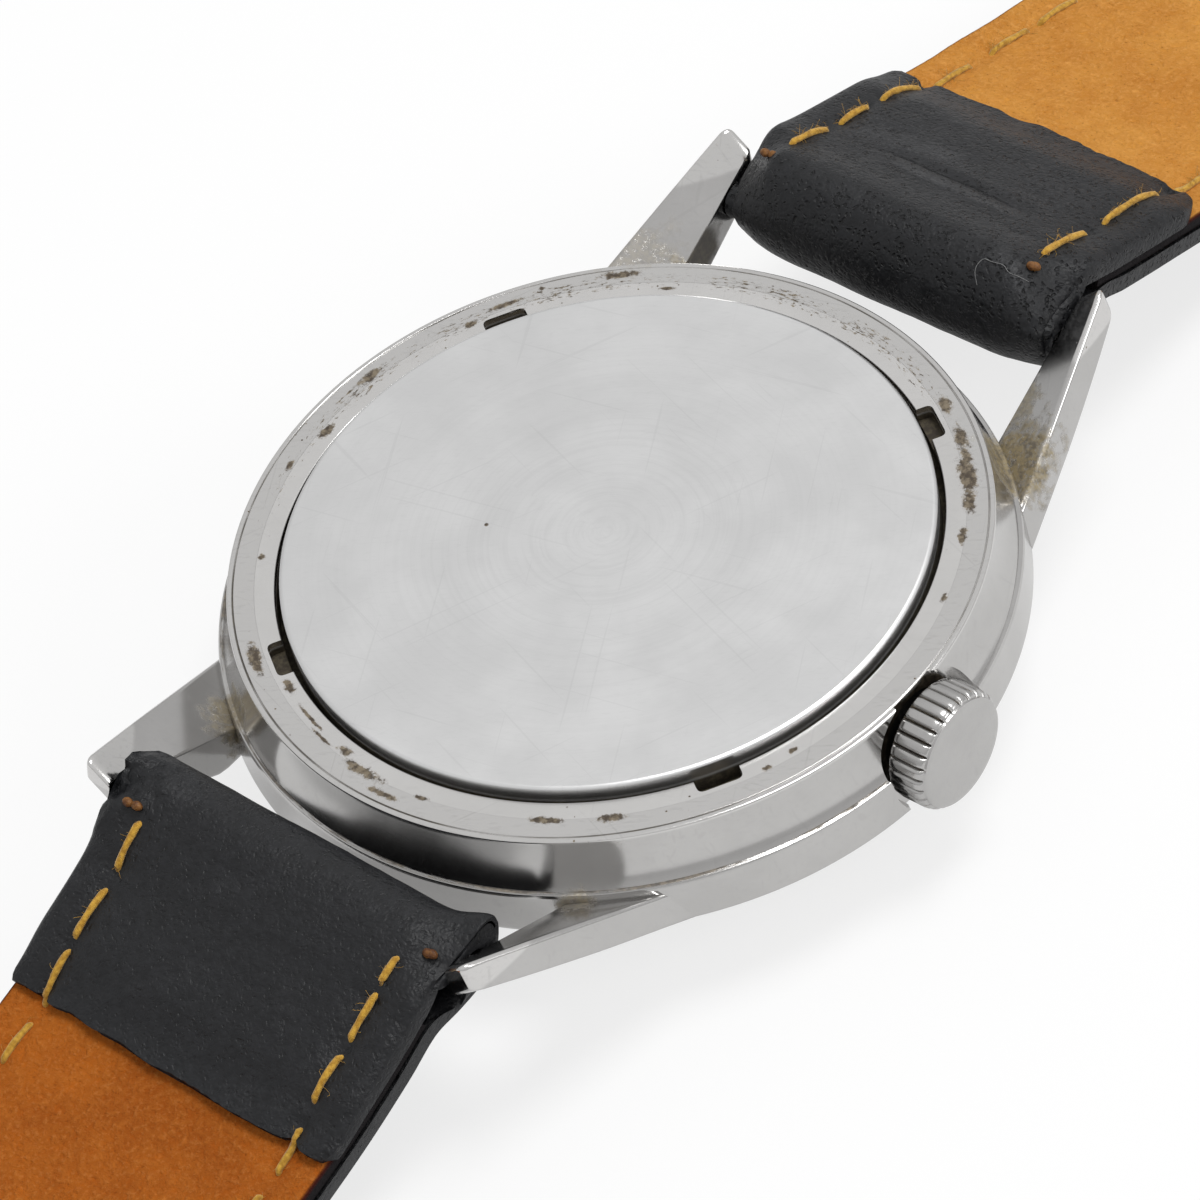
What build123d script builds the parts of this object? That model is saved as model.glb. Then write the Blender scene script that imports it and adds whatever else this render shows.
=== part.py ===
"""A gentleman's hand-wound wristwatch on a leather strap, lying dial down.

Frame: the origin is the centre of the crystal's flat outer face. +Z points out of the
case back, +X to the crown at 3 o'clock, and -Y to 12 o'clock. Millimetres and degrees.
"""
import os
from math import acos, asin, atan2, cos, degrees, hypot, pi, radians, sin

from build123d import *

# ---------------------------------------------------------------- driving dimensions
fit_gap = 0.05             # clearance of a running or sliding fit, on the radius

# Case middle, ring by ring outwards from the movement
movement_ring_wall = 0.4
gasket_shelf = 1.6         # seat of the back gasket, from the movement's bore to the ring's
rim_width = 1.19           # flat rim from the ring's bore out to the wall
wall_flare = 0.66          # how far the wall widens from the rim down to the ledge
ledge = 0.18               # step between the wall and the side
side_swell = 0.22          # from the ledge out to the widest radius
case_face_z = 4.0          # dial-side face of the case middle
side_z = 4.5               # height where the side reaches its widest radius
ledge_z = 6.56
rim_z = 8.9                # flat rim around the back
rim_bevel = 0.3
gasket_seat_z = 6.7
bezel_step = 2.05          # from the widest radius in to the spigot that the bezel snaps on
neck_z = 3.2
dial_seat_z = 3.6
dial_lip = 0.6             # ledge that holds the dial's edge

# Lugs and spring bars
lug_gap = 18.0             # between a pair of lugs
bar_room = 2.35            # from the case side out to the spring bar's axis
bar_z = 7.55
lug_reach = 1.5            # from the bar's axis to the lug's tip
lug_length = 12.1
lug_width = 3.3            # at the height of the lug's side plane
lug_over_bar = 0.84        # metal above and below the bar's axis, at the lug's inner face
lug_under_bar = 1.1
lug_tip_round = 0.7
bar_r = 0.75
bar_pin_r = 0.42
bar_pin_reach = 0.9        # how far a pin enters its lug
bar_pin_length = 3.6

# Bezel and crystal
bezel_wall = 0.8
bezel_lip = 1.3            # how far the bezel covers the crystal's flange
bezel_low_z = 1.95
crystal_shoulder = 2.35    # from the flat face out to the crystal's wall
crystal_wall = 0.85
crystal_thickness = 1.5
crystal_flange = 0.4
crystal_seat = 0.3         # from the spigot's rim in to the flange

# Back
ring_width = 0.82
back_gap = 0.28            # open groove between the disc and the ring
back_rise = 0.5            # how far the disc stands above the rim
back_edge_bevel = 0.3
back_thickness = 0.9
back_wall = 1.0
flange = 0.6
flange_gap = 0.25
notch_count = 4
notch_width = 1.95
notch_depth = 0.7
notch_wall = 0.15          # what stays of the ring outside a notch
notch_angle = 57.5
gasket = 0.3

# Crown, tube and stem
stem_z = 6.2
crown_r = 2.63
crown_length = 1.85
crown_gap = 0.3            # under the crown when it is pushed in
crown_room = 0.32          # round the crown in its recess
crown_wall = 0.95          # metal between the recess and the ring's bore
crown_flutes = 28
flute_r = 0.27
flute_out = 0.17           # how far the flutes' centres lie outside the crown
crown_edge = 0.23          # from the flutes' tips in to the flat face
crown_cavity = 1.15
crown_travel = 0.8
tube_r = 1.1
tube_wall = 0.35
tube_grip = 0.75           # length of the tube in the case, and outside it
tube_reach = 1.05
crown_gasket_width = 0.75
stem_r = 0.42

# Dial and hands
dial_room = 0.2            # round the dial in the case
dial_thickness = 0.4
hand_thickness = 0.14
hour_hand_z = 2.95
minute_hand_z = 2.6
seconds_hand_z = 3.2
minute_hand_gap = 1.2      # from the minute hand's tip to the markers' outer ends
hour_hand_gap = 2.8        # from the hour hand's tip to the markers' inner ends
seconds_hand_length = 3.0
marker_gap = 0.8           # from the markers to the dial's lip
marker_length = 1.8
marker_thickness = 0.22

# Movement: plates and heights
plate_edge = 1.8           # from the barrel to the edge of the plate
plate_z = 4.02
bridge_z = 7.0             # seat of the bridges on the mainplate
bridge_thickness = 0.45
bridge_inset = 0.15        # from the plate's edge in to the bridges'
barrel_bridge_x = -3.8     # where each bridge ends towards the balance
train_bridge_x = -9.4
bridge_split_y = 1.35      # between the barrel bridge and the train bridge
bridge_split = 0.25
cock_foot_x = -4.1         # corner of the cock's foot towards the middle
cock_foot_y, cock_foot_end_y = -3.3, -10.4
barrel_floor_z = 4.95
fourth_floor_z = 5.35
train_floor_z = 5.8
motion_depth = 0.75        # recess for the motion work, from the dial side
pivot_r = 0.13

# Movement: gears (teeth) and their heights
addendum, dedendum = 0.75, 1.15    # tooth above and below the pitch circle, in modules
barrel_teeth, centre_leaves = 48, 8
centre_teeth, third_leaves = 45, 6
third_teeth, fourth_leaves = 48, 6
fourth_teeth, escape_leaves = 60, 6
escape_teeth = 15
cannon_teeth, minute_teeth = 10, 30
minute_leaves, hour_teeth = 8, 32
setting_teeth = 14
winding_teeth, crown_wheel_teeth, ratchet_teeth = 9, 18, 30

barrel_distance, barrel_angle = 6.15, -65.0
third_distance = 3.825
fourth_distance, fourth_angle = 6.2, 90.0
third_to_fourth = 3.78
escape_distance, escape_angle = 3.63, 200.0
minute_distance, minute_angle = 3.2, 35.0
crown_wheel_x = 6.8
escape_r = 1.9
pallet_distance = 2.25
balance_x, balance_y = -7.2, 1.6
balance_r = 4.05
balance_rim = 0.4

barrel_z, barrel_height = 5.05, 1.25
barrel_r = 4.95
barrel_wall = 0.25
wheel_thickness = 0.16
centre_wheel_z = 6.4
third_wheel_z = 5.9
fourth_wheel_z = 5.45
escape_wheel_z = 5.9
balance_z = 6.7
hairspring_z = 7.1
cock_arm_z = 7.32
cock_top_z = 7.85
winding_wheel_z = 7.5
winding_wheel = 0.35
motion_wheel_z = 4.47
hour_wheel_z = 4.2

# Movement: winding and setting works along the stem
winding_length = 0.85
clutch_gap = 0.22          # between the winding pinion and the clutch
clutch_length, clutch_r = 1.7, 0.95
clutch_groove, clutch_groove_r = 0.8, 0.65     # groove's place from the clutch's end
slot_room = 0.85           # free length of the slot beyond the clutch
stem_foot = 1.5            # how far the stem reaches into the plate beyond the slot
lever_inset = 1.75         # from the plate's edge in to the setting lever's groove
lever_length, yoke_length = 3.0, 3.3

# Strap. A route is (distance past the bar, share of the way down that is left).
strap_room = 0.2           # between the strap and each lug
taper = 0.9                # how much narrower each side is at the buckle
leather = 0.95
lining = 0.7
loop_room = 0.1            # round a spring bar
flap_run = 7.0             # length of the leather turned back over the lining
flap_corner = 2.0
strap_lift = 0.05          # flat strap above the surface that the watch lies on
long_strap = 113.4         # from the bar to the tip of the 6 o'clock half
short_strap = 70.4         # from the bar to the buckle bar of the 12 o'clock half
long_rise, short_rise = 0.8, -0.55     # where the layers meet, above the spring bar
long_route = [(3.0, 1), (5.4, 0.88), (8.4, 0.736), (12.4, 0.55), (17.4, 0.357), (23.4, 0.164),
              (30.4, 0.036)]
short_route = [(3.0, 1), (5.4, 0.636), (8.4, 0.273), (12.4, -0.073), (17.4, -0.345),
               (24.4, -0.455), (32.4, -0.236)]
long_flat, short_flat = 38.4, 42.4     # level from this far past the bar
taper_start, taper_end = 14.4, 42.4
tip_length = 9.0
buckle_loop_run = 3.0      # from the buckle bar to where the layers meet
buckle_flap = 8.5          # length of the leather turned back from the buckle
hole_count = 7
hole_pitch = 7.0
hole_r = 0.9
first_hole_from_tip = 28.0

# Buckle and keepers
buckle_bar_z = 4.25
buckle_bar_r = 0.7
buckle_room = 0.4          # between the strap and each side of the buckle
buckle_inner_length = 8.6
buckle_frame = 1.7
buckle_thickness = 1.7
buckle_corner = 3.0
tang_width = 1.5
tang_thickness = 0.9
keeper_wall = 0.85
keeper_length = 4.0
keeper_gap = 0.1           # between the strap and each side of a keeper
keeper_room = 1.75         # space for the other strap half
fixed_keeper_run = 8.5     # from the buckle bar to each keeper's middle
free_keeper_run = 20.0

# ---------------------------------------------------------------- worked-out places
movement_r = barrel_distance + barrel_r + plate_edge
movement_bore_r = movement_r + movement_ring_wall + 2 * fit_gap
thread_r = movement_bore_r + gasket_shelf          # bore that takes the back ring
wall_top_r = thread_r + rim_width
wall_foot_r = wall_top_r + wall_flare
ledge_r = wall_foot_r + ledge
case_r = ledge_r + side_swell
neck_r = case_r - bezel_step
dial_r = movement_bore_r - dial_room
dial_lip_r = dial_r - dial_lip
marker_outer_r = dial_lip_r - marker_gap
marker_inner_r = marker_outer_r - marker_length
minute_hand_length = marker_outer_r - minute_hand_gap
hour_hand_length = marker_inner_r - hour_hand_gap

bezel_r = neck_r + bezel_wall
crystal_flange_r = neck_r - crystal_seat
bezel_lip_r = crystal_flange_r - bezel_lip
crystal_r = bezel_lip_r - fit_gap
crystal_face_r = crystal_r - crystal_shoulder

ring_outer_r = thread_r - fit_gap
ring_inner_r = ring_outer_r - ring_width
back_r = ring_inner_r - back_gap                   # raised disc of the back
flange_r = ring_outer_r - flange_gap
back_top_z = rim_z + back_rise
gasket_top_z = gasket_seat_z + gasket
flange_z = gasket_top_z + fit_gap
ring_z = flange_z + flange + fit_gap

crown_recess_x = thread_r + crown_wall
crown_recess_r = crown_r + crown_room
crown_inner_x = crown_recess_x + crown_gap
crown_outer_x = crown_inner_x + crown_length
crown_face_r = crown_r - crown_edge
crown_cavity_r = tube_r + crown_gasket_width
tube_start_x = crown_recess_x - tube_grip
tube_end_x = crown_recess_x + tube_reach

bar_y = case_r + bar_room
lug_tip_y = bar_y + lug_reach
lug_root_y = lug_tip_y - lug_length
loop_r = bar_r + loop_room             # inside the loop round a spring bar
strap_width = lug_gap - 2 * strap_room
strap_end_width = strap_width - 2 * taper
half_strap = leather + lining / 2      # outer face from the middle of the lining
flat_z = strap_lift + half_strap
long_strap_y, short_strap_y = bar_y + long_strap, bar_y + short_strap
long_flat_y, short_flat_y = bar_y + long_flat, bar_y + short_flat
full_width_y, narrow_y = bar_y + taper_start, bar_y + taper_end
buckle_flap_y = short_strap_y - buckle_loop_run - buckle_flap
fixed_keeper_y = short_strap_y - fixed_keeper_run
free_keeper_y = short_strap_y - free_keeper_run
buckle_inner_width = strap_end_width + 2 * buckle_room


def polar(radius, angle, centre=(0.0, 0.0)):
    """The point at a radius and an angle in degrees from a centre."""
    return (centre[0] + radius * cos(radians(angle)), centre[1] + radius * sin(radians(angle)))


def direction(start, end):
    """The angle in degrees from one point to another."""
    return degrees(atan2(end[1] - start[1], end[0] - start[0]))


def triangle_point(start, end, from_start, from_end, side):
    """The point at two distances from two others, on the given side of the line between."""
    span = hypot(end[0] - start[0], end[1] - start[1])
    turn = acos((from_start**2 + span**2 - from_end**2) / (2 * from_start * span))
    return polar(from_start, direction(start, end) + side * degrees(turn), start)


centre_at = (0.0, 0.0)
barrel_at = polar(barrel_distance, barrel_angle)
fourth_at = polar(fourth_distance, fourth_angle)
third_at = triangle_point(centre_at, fourth_at, third_distance, third_to_fourth, -1)
escape_at = polar(escape_distance, escape_angle, fourth_at)
balance_at = (balance_x, balance_y)
pallet_at = polar(pallet_distance, direction(escape_at, balance_at), escape_at)
minute_at = polar(minute_distance, minute_angle)
crown_wheel_at = (crown_wheel_x, 0.0)


def pitch_radius(distance, teeth, mate_teeth):
    """Pitch radius of a wheel that meshes with a mate at a centre distance."""
    return distance * teeth / (teeth + mate_teeth)


def mesh_phase(centre, phase, teeth, mate_centre, mate_teeth):
    """Angle of a tooth of the mate that puts its gap opposite the first wheel's tooth."""
    line = direction(centre, mate_centre)
    part = ((line - phase) / (360 / teeth)) % 1
    return line + 180 - (360 / mate_teeth) * (0.5 - part)


barrel_pitch = pitch_radius(barrel_distance, barrel_teeth, centre_leaves)
centre_leaf_pitch = pitch_radius(barrel_distance, centre_leaves, barrel_teeth)
centre_pitch = pitch_radius(third_distance, centre_teeth, third_leaves)
third_leaf_pitch = pitch_radius(third_distance, third_leaves, centre_teeth)
third_pitch = pitch_radius(third_to_fourth, third_teeth, fourth_leaves)
fourth_leaf_pitch = pitch_radius(third_to_fourth, fourth_leaves, third_teeth)
fourth_pitch = pitch_radius(escape_distance, fourth_teeth, escape_leaves)
escape_leaf_pitch = pitch_radius(escape_distance, escape_leaves, fourth_teeth)
cannon_pitch = pitch_radius(minute_distance, cannon_teeth, minute_teeth)
minute_pitch = pitch_radius(minute_distance, minute_teeth, cannon_teeth)
minute_leaf_pitch = pitch_radius(minute_distance, minute_leaves, hour_teeth)
hour_pitch = pitch_radius(minute_distance, hour_teeth, minute_leaves)
setting_pitch = minute_pitch * setting_teeth / minute_teeth
setting_x = minute_at[0] + ((minute_pitch + setting_pitch) ** 2 - minute_at[1] ** 2) ** 0.5
setting_at = (setting_x, 0.0)
ratchet_distance = hypot(crown_wheel_at[0] - barrel_at[0], crown_wheel_at[1] - barrel_at[1])
crown_wheel_pitch = pitch_radius(ratchet_distance, crown_wheel_teeth, ratchet_teeth)
ratchet_pitch = pitch_radius(ratchet_distance, ratchet_teeth, crown_wheel_teeth)
winding_pitch = crown_wheel_pitch * winding_teeth / crown_wheel_teeth
winding_tip = winding_wheel_z + 0.08 - stem_z
winding_x = crown_wheel_x + crown_wheel_pitch - 0.15
clutch_end_x = winding_x - clutch_gap
clutch_x = clutch_end_x - clutch_length
clutch_groove_x = clutch_end_x - clutch_groove
slot_x, slot_end_x = clutch_x - slot_room, winding_x + winding_length + 0.23
stem_inner_x = slot_x - stem_foot
lever_groove_x = movement_r - lever_inset
lever_pivot, yoke_pivot = (lever_groove_x, -lever_length), (clutch_groove_x, yoke_length)


# ---------------------------------------------------------------- drawing helpers
def draw_outline(points):
    """Fill a closed run of straight lines in the open sketch."""
    with BuildLine() as outline:
        Polyline(*points, close=True)
    make_face(outline.edges())


def draw_gear(centre, teeth, pitch, phase=0.0):
    """Draw a toothed wheel: each tooth has a narrow tip, and each gap one root point."""
    module = 2 * pitch / teeth
    root, tip = pitch - dedendum * module, pitch + addendum * module
    step = 360 / teeth
    points = []
    for i in range(teeth):
        angle = phase + i * step
        points.append(polar(root, angle - 0.5 * step, centre))
        points.append(polar(tip, angle - 0.07 * step, centre))
        points.append(polar(tip, angle + 0.07 * step, centre))
    draw_outline(points)


def draw_band(centre, radius_in, radius_out, thickness, turns, start=0.0, steps=14):
    """Draw a spiral band that winds from one radius out to another."""
    inner, outer = [], []
    total = int(turns * steps)
    for i in range(total + 1):
        angle = start + 360 * i / steps
        radius = radius_in + (radius_out - radius_in) * i / total
        inner.append(polar(radius - thickness / 2, angle, centre))
        outer.append(polar(radius + thickness / 2, angle, centre))
    draw_outline(inner + outer[::-1])


def disc(centre, radius, low, height, mode=Mode.ADD):
    """A round post or hole along Z in the open part."""
    with BuildSketch(Plane.XY.offset(low)) as profile:
        with Locations(centre):
            Circle(radius)
    extrude(profile.sketch, amount=height, mode=mode)


def gear(centre, teeth, pitch, low, height, phase=0.0, mode=Mode.ADD):
    """A toothed wheel in the open part."""
    with BuildSketch(Plane.XY.offset(low)) as profile:
        draw_gear(centre, teeth, pitch, phase)
    extrude(profile.sketch, amount=height, mode=mode)


def turned(points, axis=Axis.Z, mode=Mode.ADD):
    """A solid turned from a closed outline of (radius, height) points."""
    with BuildSketch(Plane.XZ) as profile:
        draw_outline(points)
    revolve(profile.sketch, axis=axis, mode=mode)


def rod(radius, start_x, end_x, height, mode=Mode.ADD, y=0.0):
    """A round rod or bore along X in the open part."""
    with BuildSketch(Plane.YZ.offset(start_x)) as profile:
        with Locations((y, height)):
            Circle(radius)
    extrude(profile.sketch, amount=end_x - start_x, mode=mode)


def spokes(centre, rim_inner, hub, low, height, count, width):
    """Cut the windows between a wheel's spokes."""
    with BuildSketch(Plane.XY.offset(low)) as windows:
        with Locations(centre):
            Circle(rim_inner)
            Circle(hub, mode=Mode.SUBTRACT)
        for i in range(count):
            with Locations(Location((centre[0], centre[1], 0), (0, 0, 360 * i / count))):
                Rectangle(rim_inner + 1, width, align=(Align.MIN, Align.CENTER), mode=Mode.SUBTRACT)
    extrude(windows.sketch, amount=height, mode=Mode.SUBTRACT)


def save(part, name):
    """Label a finished piece and write its STEP file."""
    part.label = name
    export_step(part, f"parts/{name}.step")


os.makedirs("parts", exist_ok=True)


# ---------------------------------------------------------------- case middle
back_plane = Plane(origin=(lug_gap / 2, bar_y, bar_z + lug_over_bar), z_dir=(-0.5, -0.455, 1))
front_plane = Plane(origin=(lug_gap / 2, bar_y, bar_z - lug_under_bar), z_dir=(-0.75, -0.57, 1))
side_plane = Plane(origin=(lug_gap / 2 + lug_width, bar_y, bar_z - 1.55), z_dir=(1, 0, 0.45))

with BuildPart() as lug:
    with BuildSketch(Plane.XY.offset(case_face_z + 0.2)):
        with Locations((lug_gap / 2, lug_root_y)):
            Rectangle(2 * lug_width, lug_length, align=(Align.MIN, Align.MIN))
    extrude(amount=rim_z)
    split(bisect_by=back_plane, keep=Keep.BOTTOM)
    split(bisect_by=front_plane, keep=Keep.TOP)
    split(bisect_by=side_plane, keep=Keep.BOTTOM)
    tip_outer = lug.edges().sort_by_distance((lug_gap / 2 + 2.2, lug_tip_y, bar_z + 1))[0]
    fillet(tip_outer, radius=lug_tip_round)
    ridge = lug.edges().sort_by_distance((lug_gap / 2 + 2.2, bar_y - 2.6, bar_z + 1))[0]
    chamfer(ridge, length=0.28)

with BuildPart() as mid_case:
    turned([(0, neck_z), (neck_r, neck_z), (neck_r, case_face_z), (case_r - 0.65, case_face_z),
            (case_r, side_z), (ledge_r + 0.06, ledge_z - 0.12), (ledge_r, ledge_z),
            (wall_foot_r, ledge_z), (wall_top_r, rim_z - rim_bevel - 0.1),
            (wall_top_r - rim_bevel, rim_z), (0, rim_z)])
    add(lug.part)
    mirror(about=Plane.XZ)
    mirror(about=Plane.YZ)
    turned([(0, neck_z), (dial_lip_r, neck_z), (dial_lip_r, dial_seat_z),
            (movement_bore_r, dial_seat_z), (movement_bore_r, gasket_seat_z),
            (thread_r, gasket_seat_z), (thread_r, rim_z), (0, rim_z)], mode=Mode.SUBTRACT)
    # recess and tube hole for the crown
    rod(crown_recess_r, crown_recess_x, case_r + 1, stem_z, mode=Mode.SUBTRACT)
    rod(tube_r, tube_start_x, crown_recess_x + 0.1, stem_z, mode=Mode.SUBTRACT)
    rod(stem_r + fit_gap, movement_bore_r - 1, crown_recess_x, stem_z, mode=Mode.SUBTRACT)
    # blind holes for the spring bar pins
    for side in (-1, 1):
        for end in (-1, 1):
            rod(bar_pin_r + fit_gap, end * (lug_gap / 2 - 0.2), end * (lug_gap / 2 + 1.15), bar_z,
                mode=Mode.SUBTRACT, y=side * bar_y)
save(mid_case.part, "mid_case")

with BuildPart() as crown_tube:
    rod(tube_r, tube_start_x, tube_end_x, stem_z)
    rod(tube_r - tube_wall, tube_start_x - 1, tube_end_x + 1, stem_z, mode=Mode.SUBTRACT)
save(crown_tube.part, "crown_tube")

# ---------------------------------------------------------------- bezel and crystal
with BuildPart() as bezel:
    turned([(bezel_lip_r, bezel_low_z), (bezel_lip_r + 0.9, bezel_low_z),
            (bezel_r - 0.12, neck_z - 0.1), (bezel_r, neck_z + 0.15),
            (bezel_r, case_face_z - fit_gap), (neck_r + fit_gap, case_face_z - fit_gap),
            (neck_r + fit_gap, neck_z - fit_gap), (crystal_flange_r + fit_gap, neck_z - fit_gap),
            (crystal_flange_r + fit_gap, neck_z - crystal_flange - 2 * fit_gap),
            (bezel_lip_r, neck_z - crystal_flange - 2 * fit_gap)])
save(bezel.part, "bezel")

flange_top_z = neck_z - fit_gap
flange_low_z = flange_top_z - crystal_flange
crystal_inner_r = crystal_r - crystal_wall
shoulder_z = crystal_shoulder / 2
with BuildPart() as crystal:
    turned([(0, 0), (crystal_face_r, 0), (crystal_r - 0.35 * crystal_shoulder, 0.3 * shoulder_z),
            (crystal_r, shoulder_z), (crystal_r, flange_low_z), (crystal_flange_r, flange_low_z),
            (crystal_flange_r, flange_top_z), (crystal_inner_r, flange_top_z),
            (crystal_inner_r, crystal_thickness + 0.7 * shoulder_z),
            (crystal_face_r, crystal_thickness), (0, crystal_thickness)])
save(crystal.part, "crystal")

# ---------------------------------------------------------------- back, gasket and ring
with BuildPart() as case_back:
    turned([(0, back_top_z), (back_r, back_top_z), (back_r, flange_z + flange),
            (flange_r, flange_z + flange), (flange_r, flange_z), (back_r - back_wall, flange_z),
            (back_r - back_wall - 0.3, back_top_z - back_thickness), (0, back_top_z - back_thickness)])
    chamfer(case_back.edges().filter_by(GeomType.CIRCLE).group_by(Axis.Z)[-1], length=back_edge_bevel)
save(case_back.part, "case_back")

with BuildPart() as back_gasket:
    turned([(movement_bore_r + 0.1, gasket_seat_z), (thread_r - 0.1, gasket_seat_z),
            (thread_r - 0.1, gasket_top_z), (movement_bore_r + 0.1, gasket_top_z)])
save(back_gasket.part, "back_gasket")

with BuildPart() as back_ring:
    turned([(ring_inner_r, ring_z), (ring_outer_r, ring_z), (ring_outer_r, rim_z - 0.08),
            (ring_outer_r - 0.08, rim_z), (ring_inner_r, rim_z)])
    with BuildSketch(Plane.XY.offset(rim_z - notch_depth)):
        for i in range(notch_count):
            with Locations(Location((0, 0, 0), (0, 0, notch_angle + i * 360 / notch_count))):
                Rectangle(ring_outer_r - notch_wall, notch_width, align=(Align.MIN, Align.CENTER))
        Circle(ring_inner_r - 1, mode=Mode.SUBTRACT)
    extrude(amount=notch_depth, mode=Mode.SUBTRACT)
save(back_ring.part, "back_ring")

# ---------------------------------------------------------------- crown and stem
with BuildPart() as crown:
    with BuildSketch(Plane.YZ.offset(crown_inner_x)):
        with Locations((0, stem_z)):
            Circle(crown_r)
            with PolarLocations(crown_r + flute_out, crown_flutes):
                Circle(flute_r, mode=Mode.SUBTRACT)
    extrude(amount=crown_length - 0.25)
    rod(crown_face_r, crown_inner_x, crown_outer_x, stem_z)
    chamfer(crown.faces().sort_by(Axis.X)[-1].edges(), length=0.12)
    rod(crown_cavity_r, crown_inner_x - 1, crown_inner_x + crown_cavity, stem_z, mode=Mode.SUBTRACT)
    rod(stem_r + fit_gap / 2, crown_inner_x, crown_outer_x - 0.35, stem_z, mode=Mode.SUBTRACT)
save(crown.part, "crown")

with BuildPart() as crown_gasket:
    rod(crown_cavity_r - fit_gap, crown_inner_x + 0.1, crown_inner_x + 0.65, stem_z)
    rod(tube_r + 0.02, crown_inner_x, crown_inner_x + 1, stem_z, mode=Mode.SUBTRACT)
save(crown_gasket.part, "crown_gasket")

with BuildPart() as winding_stem:
    rod(stem_r, stem_inner_x, crown_outer_x - 0.4, stem_z)
    with BuildSketch(Plane.YZ.offset(lever_groove_x - 0.28)):
        with Locations((0, stem_z)):
            Circle(stem_r + 0.1)
            Circle(stem_r - 0.18, mode=Mode.SUBTRACT)
    extrude(amount=0.56, mode=Mode.SUBTRACT)
save(winding_stem.part, "winding_stem")

# ---------------------------------------------------------------- movement: plate and bridges
plate_pockets = [
    (barrel_at, barrel_r + 0.6, barrel_floor_z),
    (centre_at, centre_leaf_pitch + 0.35, barrel_floor_z),
    (centre_at, centre_pitch + 0.3, centre_wheel_z - 0.1),
    (third_at, third_pitch + 0.25, train_floor_z),
    (fourth_at, fourth_pitch + 0.25, fourth_floor_z),
    (escape_at, escape_r + 0.2, train_floor_z),
    (escape_at, escape_leaf_pitch + 0.25, fourth_floor_z - 0.15),
    (balance_at, balance_r + 0.25, train_floor_z),
]
motion_pockets = [(centre_at, hour_pitch + 0.4), (minute_at, minute_pitch + 0.35),
                  (setting_at, setting_pitch + 0.35)]

with BuildPart() as mainplate:
    disc(centre_at, movement_r, plate_z, bridge_z - plate_z)
    for place, radius, floor in plate_pockets:
        disc(place, radius, floor, bridge_z - floor, mode=Mode.SUBTRACT)
    for place, radius in motion_pockets:
        disc(place, radius, plate_z, motion_depth, mode=Mode.SUBTRACT)
    disc(setting_at, setting_pitch + 0.35, plate_z, 1.05, mode=Mode.SUBTRACT)
    # slot for the winding pinion and the clutch, and the pockets of the levers
    with BuildSketch(Plane.XY.offset(plate_z)):
        with Locations((slot_x, 0)):
            Rectangle(slot_end_x - slot_x, 2.6, align=(Align.MIN, Align.CENTER))
        with Locations((winding_x - 0.1, 0)):
            Rectangle(slot_end_x - winding_x + 0.1, 2 * winding_tip + 0.3, align=(Align.MIN, Align.CENTER))
    extrude(amount=bridge_z - plate_z, mode=Mode.SUBTRACT)
    with BuildSketch(Plane.XY.offset(plate_z)):
        with Locations((yoke_pivot[0] - 0.25, yoke_pivot[1] / 2)):
            Rectangle(2.5, yoke_pivot[1] + 1.6)
        with Locations((lever_pivot[0] + 0.25, lever_pivot[1] / 2)):
            Rectangle(2.3, -lever_pivot[1] + 1.6)
    extrude(amount=0.55, mode=Mode.SUBTRACT)
    with BuildSketch(Plane.XY.offset(plate_z)):
        with Locations((lever_groove_x + crown_travel / 2, 0)):
            Rectangle(crown_travel + 0.7, 1.1)
    extrude(amount=stem_z - plate_z, mode=Mode.SUBTRACT)
    rod(stem_r + fit_gap, slot_end_x - 0.5, movement_r + 1, stem_z, mode=Mode.SUBTRACT)
    rod(stem_r + fit_gap, stem_inner_x - 0.1, slot_x + 0.5, stem_z, mode=Mode.SUBTRACT)
    # pivot holes of the train, the barrel, the balance and the levers
    for place, radius in ((barrel_at, 0.6), (centre_at, 0.32), (third_at, pivot_r),
                          (fourth_at, pivot_r), (escape_at, pivot_r), (pallet_at, pivot_r),
                          (balance_at, pivot_r), (yoke_pivot, 0.35), (lever_pivot, 0.35),
                          (minute_at, 0.35), (setting_at, 0.35)):
        disc(place, radius + 0.03, plate_z, 2.5, mode=Mode.SUBTRACT)
save(mainplate.part, "mainplate")

slot_in_bridge = (winding_x - 0.1, winding_x + winding_length + 0.15)
across = 3 * movement_r            # more than the plate's width
with BuildPart() as barrel_bridge:
    with BuildSketch(Plane.XY.offset(bridge_z)):
        Circle(movement_r - bridge_inset)
        with Locations((0, bridge_split_y)):
            Rectangle(across, across, align=(Align.CENTER, Align.MIN), mode=Mode.SUBTRACT)
        with Locations((barrel_bridge_x, 0)):
            Rectangle(across, across, align=(Align.MAX, Align.CENTER), mode=Mode.SUBTRACT)
        with Locations(balance_at):
            Circle(balance_r + 0.25, mode=Mode.SUBTRACT)
        with Locations(((slot_in_bridge[0] + slot_in_bridge[1]) / 2, 0)):
            Rectangle(slot_in_bridge[1] - slot_in_bridge[0], 2.8, mode=Mode.SUBTRACT)
        with Locations(barrel_at):
            Circle(0.63, mode=Mode.SUBTRACT)
        Circle(pivot_r + 0.03, mode=Mode.SUBTRACT)
    extrude(amount=bridge_thickness)
    rod(clutch_r + 0.08, slot_x, slot_end_x - 0.5, stem_z, mode=Mode.SUBTRACT)
save(barrel_bridge.part, "barrel_bridge")

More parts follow.
